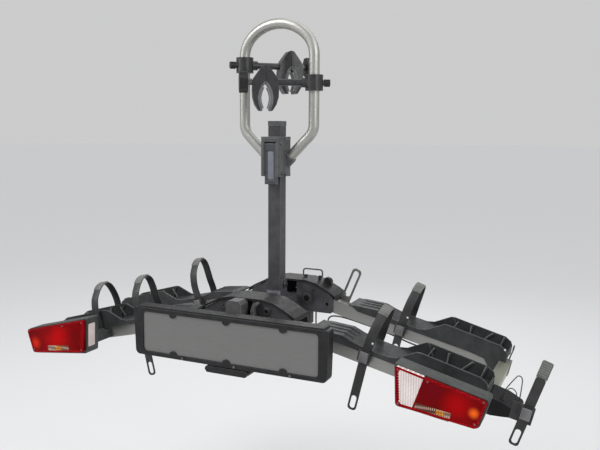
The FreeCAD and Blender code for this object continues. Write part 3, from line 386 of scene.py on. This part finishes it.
def modify(item, kind, **values):
    """Add a modifier and apply it."""
    pick(item)
    step = item.modifiers.new(kind.lower(), kind)
    for key, value in values.items():
        setattr(step, key, value)
    bpy.ops.object.modifier_apply(modifier=step.name)


def bevelled(item, width, angle):
    """Bevel on the edges sharper than an angle in degrees."""
    modify(item, "BEVEL", width=width, segments=2, limit_method="ANGLE",
           angle_limit=math.radians(angle))


def settle(item, name, look, body):
    """Name, finish and body of a piece, with its place moved into its mesh."""
    pick(item)
    bpy.ops.object.transform_apply(location=True, rotation=True, scale=True)
    bpy.ops.object.shade_smooth_by_angle(angle=SMOOTH_ANGLE)
    item.name = name
    item.data.materials.clear()
    item.data.materials.append(finish[look])
    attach(item, body)
    return item


def joined(items):
    clear()
    for item in items:
        item.select_set(True)
    bpy.context.view_layer.objects.active = items[0]
    if len(items) > 1:
        bpy.ops.object.join()
    return items[0]


def outward(item):
    """Merge doubles and turn all faces outwards."""
    pick(item)
    mode("EDIT")
    bpy.ops.mesh.select_all(action="SELECT")
    bpy.ops.mesh.remove_doubles(threshold=TINY)
    bpy.ops.mesh.normals_make_consistent(inside=False)
    mode("OBJECT")


def plate(corners, depth, corner=0.0, edge=0.0, holes=()):
    """Plate of even depth, a vector, with rounded corners and bevelled edges."""
    clear()
    bpy.ops.mesh.primitive_circle_add(vertices=len(corners), radius=1.0, fill_type="NGON")
    item = bpy.context.object
    for vertex, spot in zip(item.data.vertices, corners):
        vertex.co = spot
    item.data.update()
    pick(item)
    mode("EDIT")
    bpy.ops.mesh.select_all(action="SELECT")
    if corner:
        bpy.ops.mesh.bevel(offset=corner, segments=5, affect="VERTICES")
        bpy.ops.mesh.select_all(action="SELECT")
    extrude(depth)
    mode("OBJECT")
    outward(item)
    for hole in holes:
        modify(item, "BOOLEAN", object=hole, operation="DIFFERENCE", solver="EXACT")
        bpy.data.objects.remove(hole)
    if edge:
        bevelled(item, width=edge, angle=40)
    return item


def eased(points, rounds=3):
    """Path with its corners cut, the two ends kept."""
    for _ in range(rounds):
        cut = [points[0]]
        for a, b in zip(points, points[1:]):
            cut += [a * 0.75 + b * 0.25, a * 0.25 + b * 0.75]
        points = cut + [points[-1]]
    return points


def band(points, across, width, thick, step_height=0.0):
    """Flat strap: an edge is extruded along the path and the strip gets its thickness."""
    clear()
    bpy.ops.mesh.primitive_plane_add(size=1.0)
    item = bpy.context.object
    pick(item)
    mode("EDIT")
    mesh = bmesh.from_edit_mesh(item.data)
    bmesh.ops.delete(mesh, geom=[v for v in mesh.verts if v.co.y > 0], context="VERTS")
    first, last = sorted(mesh.verts, key=lambda v: v.co.x)
    first.co = points[0] - across * (width / 2)
    last.co = points[0] + across * (width / 2)
    for part in list(mesh.verts) + list(mesh.edges):
        part.select_set(True)
    bmesh.update_edit_mesh(item.data)
    for a, b in zip(points, points[1:]):
        extrude(b - a)
    mode("OBJECT")
    modify(item, "SOLIDIFY", thickness=thick, offset=0.0, use_even_offset=True)
    outward(item)
    bevelled(item, width=thick * BAND_BEVEL, angle=50)
    if not step_height:
        return item
    steps, travelled, due = [item], 0.0, STEP_PITCH
    for a, b in zip(points, points[1:]):
        length = (b - a).length
        while due <= travelled + length:
            steps.append(strap_step(a.lerp(b, (due - travelled) / length), (b - a).normalized(),
                                    across, width * STEP_WIDE, thick, step_height))
            due += STEP_PITCH
        travelled += length
    return joined(steps)


def strap_step(spot, way, across, width, thick, height):
    """Low ramp across a strap, one of the steps for its catch; a negative height sinks it."""
    up = way.cross(across).normalized()
    root = spot + up * (thick / 2 - 0.0002)
    side = [root - way * STEP_PITCH * STEP_FOOT, root + way * STEP_PITCH * STEP_FOOT,
            root + way * STEP_PITCH * STEP_PEAK + up * height]
    return plate([c - across * (width / 2) for c in side], across * width)


def stud(spot, way, radius, height):
    """Round head: a disc with a bevelled rim, standing on a surface."""
    clear()
    turn = way.to_track_quat("Z", "Y")
    bpy.ops.mesh.primitive_cylinder_add(vertices=20, radius=radius, depth=height,
                                        location=spot + way * (height / 2),
                                        rotation=turn.to_euler())
    item = bpy.context.object
    pick(item)
    bpy.ops.object.transform_apply(location=True, rotation=True, scale=True)
    mode("EDIT")
    mesh = bmesh.from_edit_mesh(item.data)
    bpy.ops.mesh.select_all(action="DESELECT")
    mesh.faces.ensure_lookup_table()
    for face in mesh.faces:
        face.select_set(face.normal.dot(way) > LOOKS_ALONG)
    bmesh.update_edit_mesh(item.data)
    bpy.ops.mesh.bevel(offset=height * HEAD_BEVEL, segments=3, affect="EDGES")
    mode("OBJECT")
    return item


def socket_screw(spot, way, radius, height):
    """Screw head with a round recess."""
    item = stud(spot, way, radius, height)
    pick(item)
    mode("EDIT")
    mesh = bmesh.from_edit_mesh(item.data)
    bpy.ops.mesh.select_all(action="DESELECT")
    top = max(mesh.faces, key=lambda f: f.calc_center_median().dot(way) + f.normal.dot(way)
              + f.calc_area())
    top.select_set(True)
    bmesh.update_edit_mesh(item.data)
    bpy.ops.mesh.inset(thickness=radius * HEAD_WALL)
    extrude(way * (-height * HEAD_RECESS))
    mode("OBJECT")
    return item


def on_face(names, start, way):
    """First point of the named nodes along a ray."""
    hits = []
    for name in names:
        found, spot, _, _ = nodes[name].ray_cast(start, way)
        if found:
            hits.append(((spot - start).length, spot))
    return min(hits, key=lambda hit: hit[0])[1]


def tube(line, radius, name, look, body, sides=12):
    """Bent tube or wire of even thickness, with closed ends."""
    clear()
    bpy.ops.mesh.primitive_circle_add(vertices=sides, radius=radius, fill_type="NGON")
    item = bpy.context.object
    way = (line[1] - line[0]).normalized()
    item.rotation_euler = way.to_track_quat("Z", "Y").to_euler()
    item.location = line[0]
    bpy.ops.object.transform_apply(location=True, rotation=True, scale=True)
    mode("EDIT")
    for i, (a, b) in enumerate(zip(line, line[1:])):
        bpy.ops.mesh.select_mode(type="FACE")
        extrude(b - a)
        if i + 2 == len(line):
            break
        here, after = (b - a).normalized(), (line[i + 2] - b).normalized()
        axis = here.cross(after)
        if axis.length > TINY:
            mesh = bmesh.from_edit_mesh(item.data)
            turn = Matrix.Rotation(here.angle(after), 3, axis.normalized())
            bmesh.ops.rotate(mesh, cent=b, verts=[v for v in mesh.verts if v.select], matrix=turn)
            bmesh.update_edit_mesh(item.data)
    mode("OBJECT")
    outward(item)
    return settle(item, name, look, body)


def arc(centre, radius, start, end, steps):
    """Points of an arc in X and Z, angles from +X towards +Z in degrees."""
    turns = [math.radians(start + (end - start) * i / steps) for i in range(steps + 1)]
    return [(centre[0] + radius * math.cos(t), centre[1] + radius * math.sin(t)) for t in turns]


# Wheel straps. Paths are pairs of y from the rail's near face and w up from the rail
STRAP_W, STRAP_T, STRAP_EDGE = 0.024, 0.003, 0.0006
STRAP_OFF = 0.0063
TIP_W, TIP_T = STRAP_W + 0.002, 0.0046
NEAR_MID, FAR_MID = -0.0078, 0.0928
NEAR_PATH = [(NEAR_MID, 0.002), (NEAR_MID, 0.018), (NEAR_MID, 0.032), (NEAR_MID - 0.007, 0.062),
             (-0.008, 0.098), (0.003, 0.1135), (0.014, 0.126)]
TIP_PATH = [(0.01425, 0.12635), (0.018, 0.1316), (0.032, 0.1405), (0.050, 0.1439), (0.054, 0.1424)]
FAR_PATH = [(0.0543, 0.1423), (0.072, 0.132), (0.080, 0.104), (0.084, 0.068), (FAR_MID, 0.040),
            (FAR_MID, 0.014)]
GRIP_RIBS = [(0.021, 0.1350), (0.027, 0.1384), (0.033, 0.1412), (0.039, 0.1427), (0.045, 0.1442)]
GRIP_RIB = [(-0.0016, -0.0008), (0.0016, 0.0004), (0.0010, 0.0026), (-0.0008, 0.0018)]
GRIP_RIB_W = 0.023
BUCKLE_W, BUCKLE_TOP = 0.010, 0.032
RIVET = (-0.0140, 0.052, 0.009)
TAIL_TOP, SLANT_PITCH, SLANT_H = 0.0017, 0.0042, 0.004
SLANT = [(-0.0072, 0.0), (0.0072, SLANT_H), (0.0072, SLANT_H + 0.0016), (-0.0072, 0.0016)]
# For each closed strap: u, row, lower end of its loose tail, tilt in degrees, stretch upwards
INNER_STRAPS = {
    "right": [(0.350, "front", -0.145, 7.0, 0.94), (0.358, "back", -0.080, 6.0, 0.97)],
    "left": [(0.356, "front", -0.145, 0.0, 1.0), (0.340, "back", -0.080, 0.0, 1.02)],
}


def closed_loop(side, u, near, tilt, tall, over_wall=False):
    """Closed strap, tilted along the rail about its buckle: bands, grey tip, place of its rivet."""
    first, last = list(NEAR_PATH), list(FAR_PATH)
    if over_wall:
        first[:2] = [(NEAR_MID, 0.014), (NEAR_MID, 0.024)]
        last[2:5] = [(0.086, 0.104), (FAR_MID, 0.074)]
    turn = math.radians(tilt)

    def spot(y, w, du=0.0):
        rise = (w * tall if w > BUCKLE_TOP else w) - BUCKLE_W
        return wing(side, u + du * math.cos(turn) + rise * math.sin(turn), near + y,
                    BUCKLE_W + rise * math.cos(turn) - du * math.sin(turn))

    def path(line):
        return eased([spot(y, w) for y, w in line])

    way = (spot(0, 0, 1) - spot(0, 0, 0)).normalized()
    bands = [band(path(first), way, STRAP_W, STRAP_T, step_height=-0.0007),
             band(path(last), way, STRAP_W, STRAP_T)]
    tip = [band(path(TIP_PATH), way, TIP_W, TIP_T)]
    for y, w in GRIP_RIBS:
        rib = [spot(y + dy, w + dw, -GRIP_RIB_W / 2) for dy, dw in GRIP_RIB]
        tip.append(plate(rib, way * GRIP_RIB_W, edge=0.0003))
    return bands, tip, spot(*RIVET)


def box_of(half, low, high):
    """Four corners, from half a width and two heights."""
    return [(-half, low), (half, low), (half, high), (-half, high)]


def hanging_tail(side, u, near, low):
    """Loose end of a strap, with a long hole and slanting steps."""
    y = near - STRAP_OFF - STRAP_T

    def spots(line, w=0.0):
        return wing_spots(side, [(u + du, w + dw) for du, dw in line], y)

    depth = TO_CAR * STRAP_T
    hole_line = box_of(half=0.007, low=low + 0.005, high=low + 0.040)
    hole = plate([spot - depth for spot in spots(hole_line)], depth * 3, corner=0.0069)
    steps = [plate(spots(box_of(STRAP_W / 2, low, TAIL_TOP)), depth, corner=0.0088,
                   edge=STRAP_EDGE, holes=[hole])]
    w = low + 0.046
    while w < TAIL_TOP - SLANT_H:
        steps.append(plate([spot - TO_CAR * 0.0006 for spot in spots(SLANT, w)],
                           TO_CAR * 0.0009))
        w += SLANT_PITCH
    return joined(steps)


class Lean:
    """Line of an open strap that stands beside a rail, from a foot and a direction in u and w."""

    def __init__(self, foot, way):
        self.foot, self.way = Vector(foot), Vector(way).normalized()
        self.across = Vector((self.way.y, -self.way.x))

    def box(self, side, low, high, half, y):
        spots = [self.foot + self.way * t + self.across * (s * half) for s, t in
                 ((-1, low), (1, low), (1, high), (-1, high))]
        return wing_spots(side, spots, y)

    def strap(self, side, length, half, thick, y_far, corner, hole):
        """Flat strap with one long hole, given by its two ends and half its width."""
        low, high, hole_half = hole
        slot = plate(self.box(side, low, high, hole_half, y_far - 3 * thick), TO_CAR * (5 * thick),
                     hole_half * 0.98)
        return plate(self.box(side, 0, length, half, y_far - thick), TO_CAR * thick, corner,
                     STRAP_EDGE, [slot])


OUTER = Lean((0.749, -0.0675), (0.021, 0.2225))
OUTER_Y = RAIL_NEAR["front"] - 0.0032 - STRAP_OFF
OUTER_LENGTH, OUTER_TIP_END = 0.181, 0.223
UPRIGHT = Lean((0.159, 0.0), (0.015, 0.094))
UPRIGHT_Y = RAIL_NEAR["back"] + RAIL_DEPTH + 0.0006 + 0.004 + 0.0005 + STRAP_T
CURL = [(0.668, 0.056), (0.6695, 0.044), (0.6655, 0.020), (0.6643, -0.052)]
CURL_Y = RAIL_NEAR["back"] + RAIL_DEPTH + 0.0003 + STRAP_W / 2
FOOT_BLOCK = [(0.153, 0), (0.167, 0), (0.167, 0.010), (0.153, 0.010)]
FOOT_BLOCK_Y = RAIL_NEAR["back"] + RAIL_DEPTH + 0.0002


def open_straps(bands, tips):
    """Loose outer strap of the right wing with its grip, and the slotted one beside the hub."""
    side = "right"
    bands.append(OUTER.strap(side, OUTER_LENGTH, STRAP_W / 2, STRAP_T, OUTER_Y, corner=0.008,
                             hole=(0.005, 0.042, 0.007)))
    tips.append(OUTER.strap(side, OUTER_TIP_END, TIP_W / 2, 0.005, OUTER_Y + 0.001,
                            corner=0.005, hole=(-0.2, OUTER_LENGTH + 0.0003, 0.03)))
    for step in range(6):
        for half in (-1, 1):
            spot = OUTER.foot + OUTER.way * (0.188 + 0.0056 * step) + OUTER.across * (0.0052 * half)
            corners = [spot + OUTER.across * a + OUTER.way * b
                       for a, b in box_of(0.0042, -0.0011, 0.0011)]
            tips.append(plate(wing_spots(side, corners, OUTER_Y - 0.0050), TO_CAR * 0.0013,
                              edge=0.0003))
    tips.append(UPRIGHT.strap(side, 0.126, 0.015, STRAP_T, UPRIGHT_Y, corner=0.011,
                              hole=(0.034, 0.119, 0.0085)))
    bands.append(plate(wing_spots(side, FOOT_BLOCK, FOOT_BLOCK_Y), TO_CAR * 0.0058, corner=0.001,
                       edge=0.0004))


rivets = []
for side in SIDES:
    bands, tips = [], []
    body = side + "_wing"
    for u, place, low, tilt, tall in INNER_STRAPS[side]:
        near = RAIL_NEAR[place]
        more, tip, rivet_spot = closed_loop(side, u, near, tilt, tall)
        bands += more + [hanging_tail(side, u, near, low)]
        tips += tip
        if side == "right":
            rivets.append(stud(rivet_spot, FROM_CAR, radius=0.0027, height=0.0014))
    if side == "left":
        more, tip, _ = closed_loop(side, 0.512, RAIL_NEAR["front"], 0.0, 1.0, over_wall=True)
        bands += more
        tips += tip
    bands.append(band(eased(wing_spots(side, CURL, CURL_Y)), TO_CAR, STRAP_W, STRAP_T))
    if side == "right":
        open_straps(bands, tips)
    straps = settle(joined(bands), side + "_straps", "strap", body)
    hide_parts(side + "_wheel_straps")
    grips = settle(joined(tips), side + "_strap_grips", "tip", body)
    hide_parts(side + "_strap_tips")

# Hoop: the same arcs as the frame, one smooth tube
HOOP_HALF, HOOP_RISE, HOOP_Y, HOOP_R = 0.110, 0.092, 0.010 + MAST_Y, 0.015
SIDE_R, SPRING_Z, BEND_Z, BEND_R, FOOT_X = 0.080, 0.700, 0.490, 0.046, 0.033
side_x = HOOP_HALF - SIDE_R
crown_r = (side_x ** 2 + HOOP_RISE ** 2 - SIDE_R ** 2) / (2 * (HOOP_RISE - SIDE_R))
side_turn = math.degrees(math.atan2(crown_r - HOOP_RISE, side_x))
bend_centre = (HOOP_HALF - BEND_R, BEND_Z + BEND_R * math.tan(math.radians(22.5)))
half_path = [(FOOT_X, BEND_Z - (HOOP_HALF - FOOT_X))] + arc(bend_centre, BEND_R, -45, 0, 12)
half_path += arc((side_x, SPRING_Z), SIDE_R, 0, side_turn, 14)
half_path += arc((0, SPRING_Z + HOOP_RISE - crown_r), crown_r, side_turn, 90, 12)[1:]
hoop_path = half_path + [(-x, z) for x, z in half_path[-2::-1]]
hoop = tube([Vector((x, HOOP_Y, z + DECK_Z)) for x, z in hoop_path], HOOP_R, "hoop_tube", "hoop",
            "hoop_carriage", sides=40)
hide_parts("hoop")

# Rivets of the two closed straps on the right, and one at the outer end of the back tray
end_face = on_face(["right_trays"], wing("right", 0.6515, RAIL_NEAR["back"] - 0.05, 0.052), TO_CAR)
rivets.append(stud(end_face - TO_CAR * 0.0002, FROM_CAR, radius=0.0030, height=0.0016))
settle(joined(rivets), "strap_rivets", "rivet", "right_wing")

# Trays: ribs on the inner face of the far walls, pale as a painted highlight, each with u of its
# top and of its foot
FAR_FACE, RIB_W = 0.083 - 0.0006, 0.0034
RIB_LOW, RIB_HIGH = 0.026, 0.0575
RIBS = [(0.4965, 0.4835), (0.5350, 0.5375), (0.5970, 0.5740), (0.6315, 0.6265)]
for side in SIDES:
    ribs = []
    for near in RAIL_NEAR.values():
        for top, foot in RIBS:
            corners = [(foot, RIB_LOW), (foot + RIB_W, RIB_LOW), (top + RIB_W, RIB_HIGH),
                       (top, RIB_HIGH)]
            ribs.append(plate(wing_spots(side, corners, near + FAR_FACE), TO_CAR * 0.0062,
                              edge=0.0005))
    settle(joined(ribs), side + "_tray_ribs", "rib", side + "_wing")

# Lamps: glass, rim with screw wells and lugs, reflector, bulb window and plate light. The
# outlines are x and z in millimetres off the hub line
LENS_OUTER = [(458, -44.6), (672, -99.4), (650, -165), (463, -140)]
LENS_INNER = [(464.5, -51.6), (665, -103.2), (645.5, -158.6), (469, -134)]
WINDOWS = {
    "right": [(509.5, -126.1), (592.6, -137.3), (587.8, -158.6), (504.2, -145.8)],
    "left": [(518.3, -126.6), (594, -136.6), (591.2, -157.6), (512.8, -145.5)],
}
BULBS = {
    "right": [(557.5, -134.4), (577, -137.0), (575.5, -147.6), (555.8, -144.9)],
    "left": [(543, -131.5), (563, -134.1), (561.5, -146.4), (541.5, -143.8)],
}
WELLS = [(465.6, -53.3), (468.6, -134.1), (645.8, -154.2), (663.6, -99.7), (536.4, -71.8)]
SPLIT = [(529.4, -62.1), (531.0, -62.5), (503.2, -145.0), (500.6, -144.7)]
PLATE_LIGHT = [(-0.294, 0.045), (-0.266, 0.045), (-0.266, -0.022), (-0.294, -0.022)]
SHELL_SIDE_X, SHELL_LEAN = 0.4541, 0.0385
LUGS = 11


def set_back(node, name, look, body):
    """Lens of the frame with its face moved in."""
    item = placed(name, nodes[node].data.copy())
    outward(item)
    back = max(vertex.co.y for vertex in item.data.vertices)
    front = min(vertex.co.y for vertex in item.data.vertices)
    for vertex in item.data.vertices:
        vertex.co.y = back - (back - vertex.co.y) * (back - front - PROUD) / (back - front)
    settle(item, name, look, body)
    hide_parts(node)


def on_lamp(side, outline, rise, depth, corner=0.0, edge=0.0003, holes=()):
    """Flat piece on a lamp's face, standing out by its rise."""
    return plate(upright_spots(outline, LAMP_FACE - rise, side), TO_CAR * depth, corner, edge,
                 holes)


def row_of_lugs(side):
    """Small round lugs along the inner edge of the rim, on its side next to the mast."""
    (high_x, high_z), (low_x, low_z) = LENS_INNER[0], LENS_INNER[3]
    lugs = []
    for i in range(LUGS):
        t = (i + 1.4) / (LUGS + 2)
        place = (high_x + (low_x - high_x) * t + 0.2, high_z + (low_z - high_z) * t)
        lugs.append(stud(upright_spots([place], LAMP_FACE, side)[0], FROM_CAR, radius=0.0028,
                         height=0.0007))
    return lugs


set_back("right_lamp_clear_lens", "right_lamp_clear_glass", "clear_lens", "right_wing")
set_back("left_lamp_fog_lens", "left_lamp_fog_glass", "red_lens", "left_wing")
for side, sign in SIDES.items():
    body = side + "_wing"
    set_back(side + "_lamp_red_lens", side + "_lamp_red_glass", "red_lens", body)
    inner = on_lamp(side, LENS_INNER, rise=0.004, depth=0.010, corner=0.008, edge=0.0)
    rim = [on_lamp(side, LENS_OUTER, rise=0.0007, depth=0.0020, corner=0.0075, edge=0.0004,
                   holes=[inner])]
    rim += row_of_lugs(side)
    wells = upright_spots(WELLS, LAMP_FACE, side)
    rim += [stud(spot, FROM_CAR, radius=0.0046, height=0.0010) for spot in wells]
    settle(joined(rim), side + "_lamp_rim", "rim_lens", body)
    screws = [socket_screw(spot - TO_CAR * 0.0009, FROM_CAR, radius=0.0022, height=0.0006)
              for spot in wells]
    settle(joined(screws), side + "_lamp_screws", "bolt", body)
    settle(on_lamp(side, WINDOWS[side], rise=0.0005, depth=0.0012, corner=0.0022),
           side + "_lamp_window", "reflector", body)
    settle(on_lamp(side, BULBS[side], rise=0.0009, depth=0.0012, corner=0.0030),
           side + "_lamp_bulb_window", "amber_lens", body)
    light_spots = [Vector((sign * (SHELL_SIDE_X + SHELL_LEAN * (DECK_Z - z) - 0.0018),
                           y + MAST_Y, z)) for y, z in PLATE_LIGHT]
    settle(plate(light_spots, Vector((sign * 0.0030, 0, 0)), corner=0.004, edge=0.0004),
           side + "_plate_light", "clear_lens", body)
    if side == "right":
        settle(on_lamp(side, SPLIT, rise=0.0006, depth=0.0015), side + "_lamp_split",
               "rim_lens", body)

# Hub: bosses with recessed bolts, each x, y and z in millimetres and radius, a dark disc as painted
# shade in each bolt's recess, and a blank label
HUB_NODES = ["centre_frame", "front_hub_cover", "back_hub_cover", "pivot_bolts"]
HUB_BOLTS = [(54.8, 30, -13.3, 0.0138), (75.5, 30, 10.5, 0.0082), (121, 30, -26.0, 0.0066),
             (61.5, -250, 9.5, 0.0092)]
LABEL, LABEL_Y = [(-21, 28), (23, 28), (23, 14), (-21, 14)], -0.0243 + MAST_Y
hub_screws, recess_shades = [], []
for x, y, z, radius in HUB_BOLTS:
    face = on_face(HUB_NODES, upright_spots([(x, z)], y / MM + MAST_Y)[0], TO_CAR)
    hub_screws.append(stud(face + TO_CAR * 0.0004, FROM_CAR, radius * 1.35, height=0.0022))
    hub_screws.append(socket_screw(face - TO_CAR * 0.0014, FROM_CAR, radius, height=0.0034))
    # Dark disc at the bottom of the bolt's recess: painted shade
    recess_shades.append(stud(face - TO_CAR * 0.0024, FROM_CAR, radius * 0.77, height=0.0008))
settle(joined(hub_screws), "hub_screws", "cast", "platform")
settle(joined(recess_shades), "hub_recess_shades", "nose", "platform")
settle(plate(upright_spots(LABEL, LABEL_Y), TO_CAR * 0.0006, corner=0.002, edge=0.0001),
       "hub_label", "label", "platform")

# Clamp block: raised front frame around the lever and a pale inlay in the lever
BLOCK_FACE, LEVER_DIP = -0.046 + MAST_Y, -0.040 + MAST_Y
FRAME_LINE = [(-27, 366), (-20, 366), (-20, 462), (20, 462), (20, 366), (27, 366), (27, 472),
              (-27, 472)]
INLAY_LINE = [(-9.5, 354.5), (9.5, 354.5), (9.5, 433.5), (-9.5, 433.5)]
settle(plate(upright_spots(FRAME_LINE, BLOCK_FACE - 0.0026), TO_CAR * 0.0030, corner=0.0030,
             edge=0.0009), "block_front_frame", "block", "hoop_carriage")
settle(plate(upright_spots(INLAY_LINE, LEVER_DIP - 0.0012), TO_CAR * 0.0014, corner=0.0020,
             edge=0.0004), "lever_inlay", "inlay", "clamp_lever")

# Claws: grey lining around the mouth and a dark strip, the painted shade of the gap between the
# jaws, in millimetres from the claw's middle. For each holder: its place on the hoop, heading and
# the side it shows
CLAW_X, CLAW_HALF = 0.137, 0.017
LINING = [(9, -79), (9.5, -73), (14.5, -57), (16, -42), (13.3, -29), (7.3, -14), (0.9, -5),
          (0.9, 2), (10.5, -8), (18.5, -26), (21.5, -42), (20, -59), (15, -75), (13, -79)]
SEAM_SHADE = [(-1.5, 36), (0.3, 36), (0.3, -3), (-1.5, -3)]
CLAWS = {
    "front_holder": (Vector((HOOP_HALF, HOOP_Y, 0.625 + DECK_Z)), 212, 1),
    "back_holder": (Vector((-HOOP_HALF, HOOP_Y, 0.679 + DECK_Z)), 43, -1),
}


def trim_claw(name, base, heading, facing):
    """Both linings and the dark strip of painted shade in the seam, on the side of a claw that
    shows.
    """
    turn = Matrix.Rotation(math.radians(heading), 3, "Z")
    out_of_face = turn @ Vector((0, facing, 0))
    face_y = facing * (CLAW_HALF - 0.0003)

    def claw_spots(line, sign=1):
        return [base + turn @ Vector((CLAW_X + sign * a / MM, face_y, b / MM)) for a, b in line]

    for sign, part, body in ((1, "outer", name + "_jaw"), (-1, "inner", name + "_collar")):
        settle(plate(claw_spots(LINING, sign), out_of_face * 0.0012, edge=0.0003),
               name + "_" + part + "_lining", "lining", body)
    # Dark strip in the gap between the jaws: painted shade
    settle(plate(claw_spots(SEAM_SHADE), out_of_face * 0.0008), name + "_seam", "nose",
           name + "_collar")


for name, place in CLAWS.items():
    trim_claw(name, *place)

# Two wire loops on the end of the right front rail
WIRE_Y, WIRE_R = RAIL_NEAR["front"] + 0.014, 0.0013
WIRE = [(0.6925, 0.020), (0.6946, 0.043), (0.7120, 0.086), (0.7165, 0.0905), (0.7225, 0.0895),
        (0.7275, 0.0830), (0.7330, 0.040), (0.7345, 0.016)]
WIRE_ARC = [(0.6985, 0.018), (0.6990, 0.045), (0.7040, 0.054), (0.7110, 0.0575), (0.7190, 0.054),
            (0.7250, 0.047), (0.7260, 0.016)]
for name, spots, y in (("end_wire", WIRE, WIRE_Y), ("end_wire_arc", WIRE_ARC, WIRE_Y - 0.006)):
    tube(eased(wing_spots("right", spots, y), rounds=2), WIRE_R, name, "wire", "right_wing")

# Lamp cable: a loop beside the hub, then along the underside of the back rail
CABLE_LENGTH, CABLE_D = 0.634, 0.0046
CABLE_Y = RAIL_NEAR["back"] + 0.008
cable_route = [Vector((x, CABLE_Y + MAST_Y, z + DECK_Z)) for x, z in
               ((0.078, -0.036), (0.078, -0.064), (0.078, -0.094), (0.080, -0.118),
                (0.096, -0.128), (0.112, -0.118), (0.115, -0.094), (0.121, -0.066))]
cable_route += wing_spots("right", ((0.162, -0.0265), (0.205, -0.0228), (0.330, -0.0228),
                                    (0.385, -0.0290), (0.440, -0.0290), (0.500, -0.0228),
                                    (0.575, -0.0232), (0.600, -0.0160)), CABLE_Y)
line = bpy.data.curves.new("lamp_cable", "CURVE")
line.dimensions = "3D"
spline = line.splines.new("NURBS")
spline.points.add(len(cable_route) - 1)
for point, spot in zip(spline.points, cable_route):
    point.co = (*spot, 1)
spline.order_u = 3
spline.use_endpoint_u = True
line.bevel_depth = CABLE_D / 2
line.bevel_resolution = 3
line.use_fill_caps = True
line.materials.append(finish["cable"])
cable = placed("lamp_cable", line)
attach(cable, "right_wing")

# Floor, below the folded wings and the tilted platform
FLOOR_Z = -0.660
clear()
bpy.ops.mesh.primitive_circle_add(vertices=128, radius=60.0, fill_type="NGON",
                                  location=(0, 0, FLOOR_Z))
floor = bpy.context.object
floor.name = "floor"
floor_look = Look("floor_pale")
floor_look.even(Base_Color=(0.725, 0.725, 0.73, 1), Roughness=0.9, Specular_IOR_Level=0.1)
floor.data.materials.append(floor_look.material)

# World: one grey lights the object, a paler one is the background that the camera sees
world = bpy.data.worlds.new("studio")
bpy.context.scene.world = world
world.use_nodes = True
tree = world.node_tree
tree.nodes.clear()
paths = tree.nodes.new("ShaderNodeLightPath")
mix = tree.nodes.new("ShaderNodeMixShader")
out = tree.nodes.new("ShaderNodeOutputWorld")
tree.links.new(paths.outputs["Is Camera Ray"], mix.inputs["Fac"])
for socket, color, strength in ((1, (0.78, 0.79, 0.80, 1), 0.62), (2, (0.60, 0.60, 0.605, 1), 1.0)):
    grey = tree.nodes.new("ShaderNodeBackground")
    grey.inputs["Color"].default_value = color
    grey.inputs["Strength"].default_value = strength
    tree.links.new(grey.outputs["Background"], mix.inputs[socket])
tree.links.new(mix.outputs["Shader"], out.inputs["Surface"])


# Lights: soft boxes, each with its place, the point it faces, size and watts, and two wide suns
def aimed(item, way):
    item.rotation_euler = way.to_track_quat("-Z", "Y").to_euler()


for name, spot, aim, size, watts in (
        ("key_light", (-1.6, -2.4, 2.6), (0, -0.2, 0.2), (1.6, 1.6), 30),
        ("side_light", (2.6, -0.6, 1.8), (0, -0.2, 0.3), (1.0, 1.8), 12),
        ("top_light", (0.2, 0.6, 3.0), (0, -0.1, 0.2), (2.4, 1.6), 14),
        ("back_light", (-0.8, 2.6, 1.6), (0, 0, 0.3), (1.8, 1.0), 12),
        ("left_strip", (-1.5, -1.3, 1.3), (0, -0.16, 0.75), (0.25, 1.4), 8),
        ("right_strip", (1.7, -1.2, 1.2), (0, -0.16, 0.75), (0.25, 1.4), 8)):
    light = bpy.data.lights.new(name, "AREA")
    light.shape = "RECTANGLE"
    light.size, light.size_y = size
    light.energy = watts
    box = placed(name, light)
    box.location = spot
    aimed(box, Vector(aim) - Vector(spot))
for name, spot, strength in (("wide_key", (-1.5, -2.0, 2.6), 0.9),
                             ("wide_fill", (2.0, 0.8, 2.4), 0.5)):
    light = bpy.data.lights.new(name, "SUN")
    light.energy = strength
    light.angle = math.radians(50)
    aimed(placed(name, light), -Vector(spot))

# Camera, fitted to the photograph: its focal length is in pixels of a picture 600 wide
FOCAL, PICTURE_W, SENSOR_W = 721.7, 600, 36.0
YAW, PITCH, ROLL = math.radians(24.462), math.radians(7.526), math.radians(0.374)
camera_data = bpy.data.cameras.new("camera")
camera_data.sensor_width = SENSOR_W
camera_data.lens = FOCAL / PICTURE_W * SENSOR_W
camera = placed("camera", camera_data)
turn = (Matrix.Rotation(YAW, 4, "Z") @ Matrix.Rotation(math.pi / 2 - PITCH, 4, "X")
        @ Matrix.Rotation(ROLL, 4, "Z"))
camera.matrix_world = Matrix.Translation((0.925, -1.871 + MAST_Y, 0.495 + DECK_Z)) @ turn
bpy.context.scene.camera = camera
bpy.context.scene.view_settings.view_transform = "Standard"
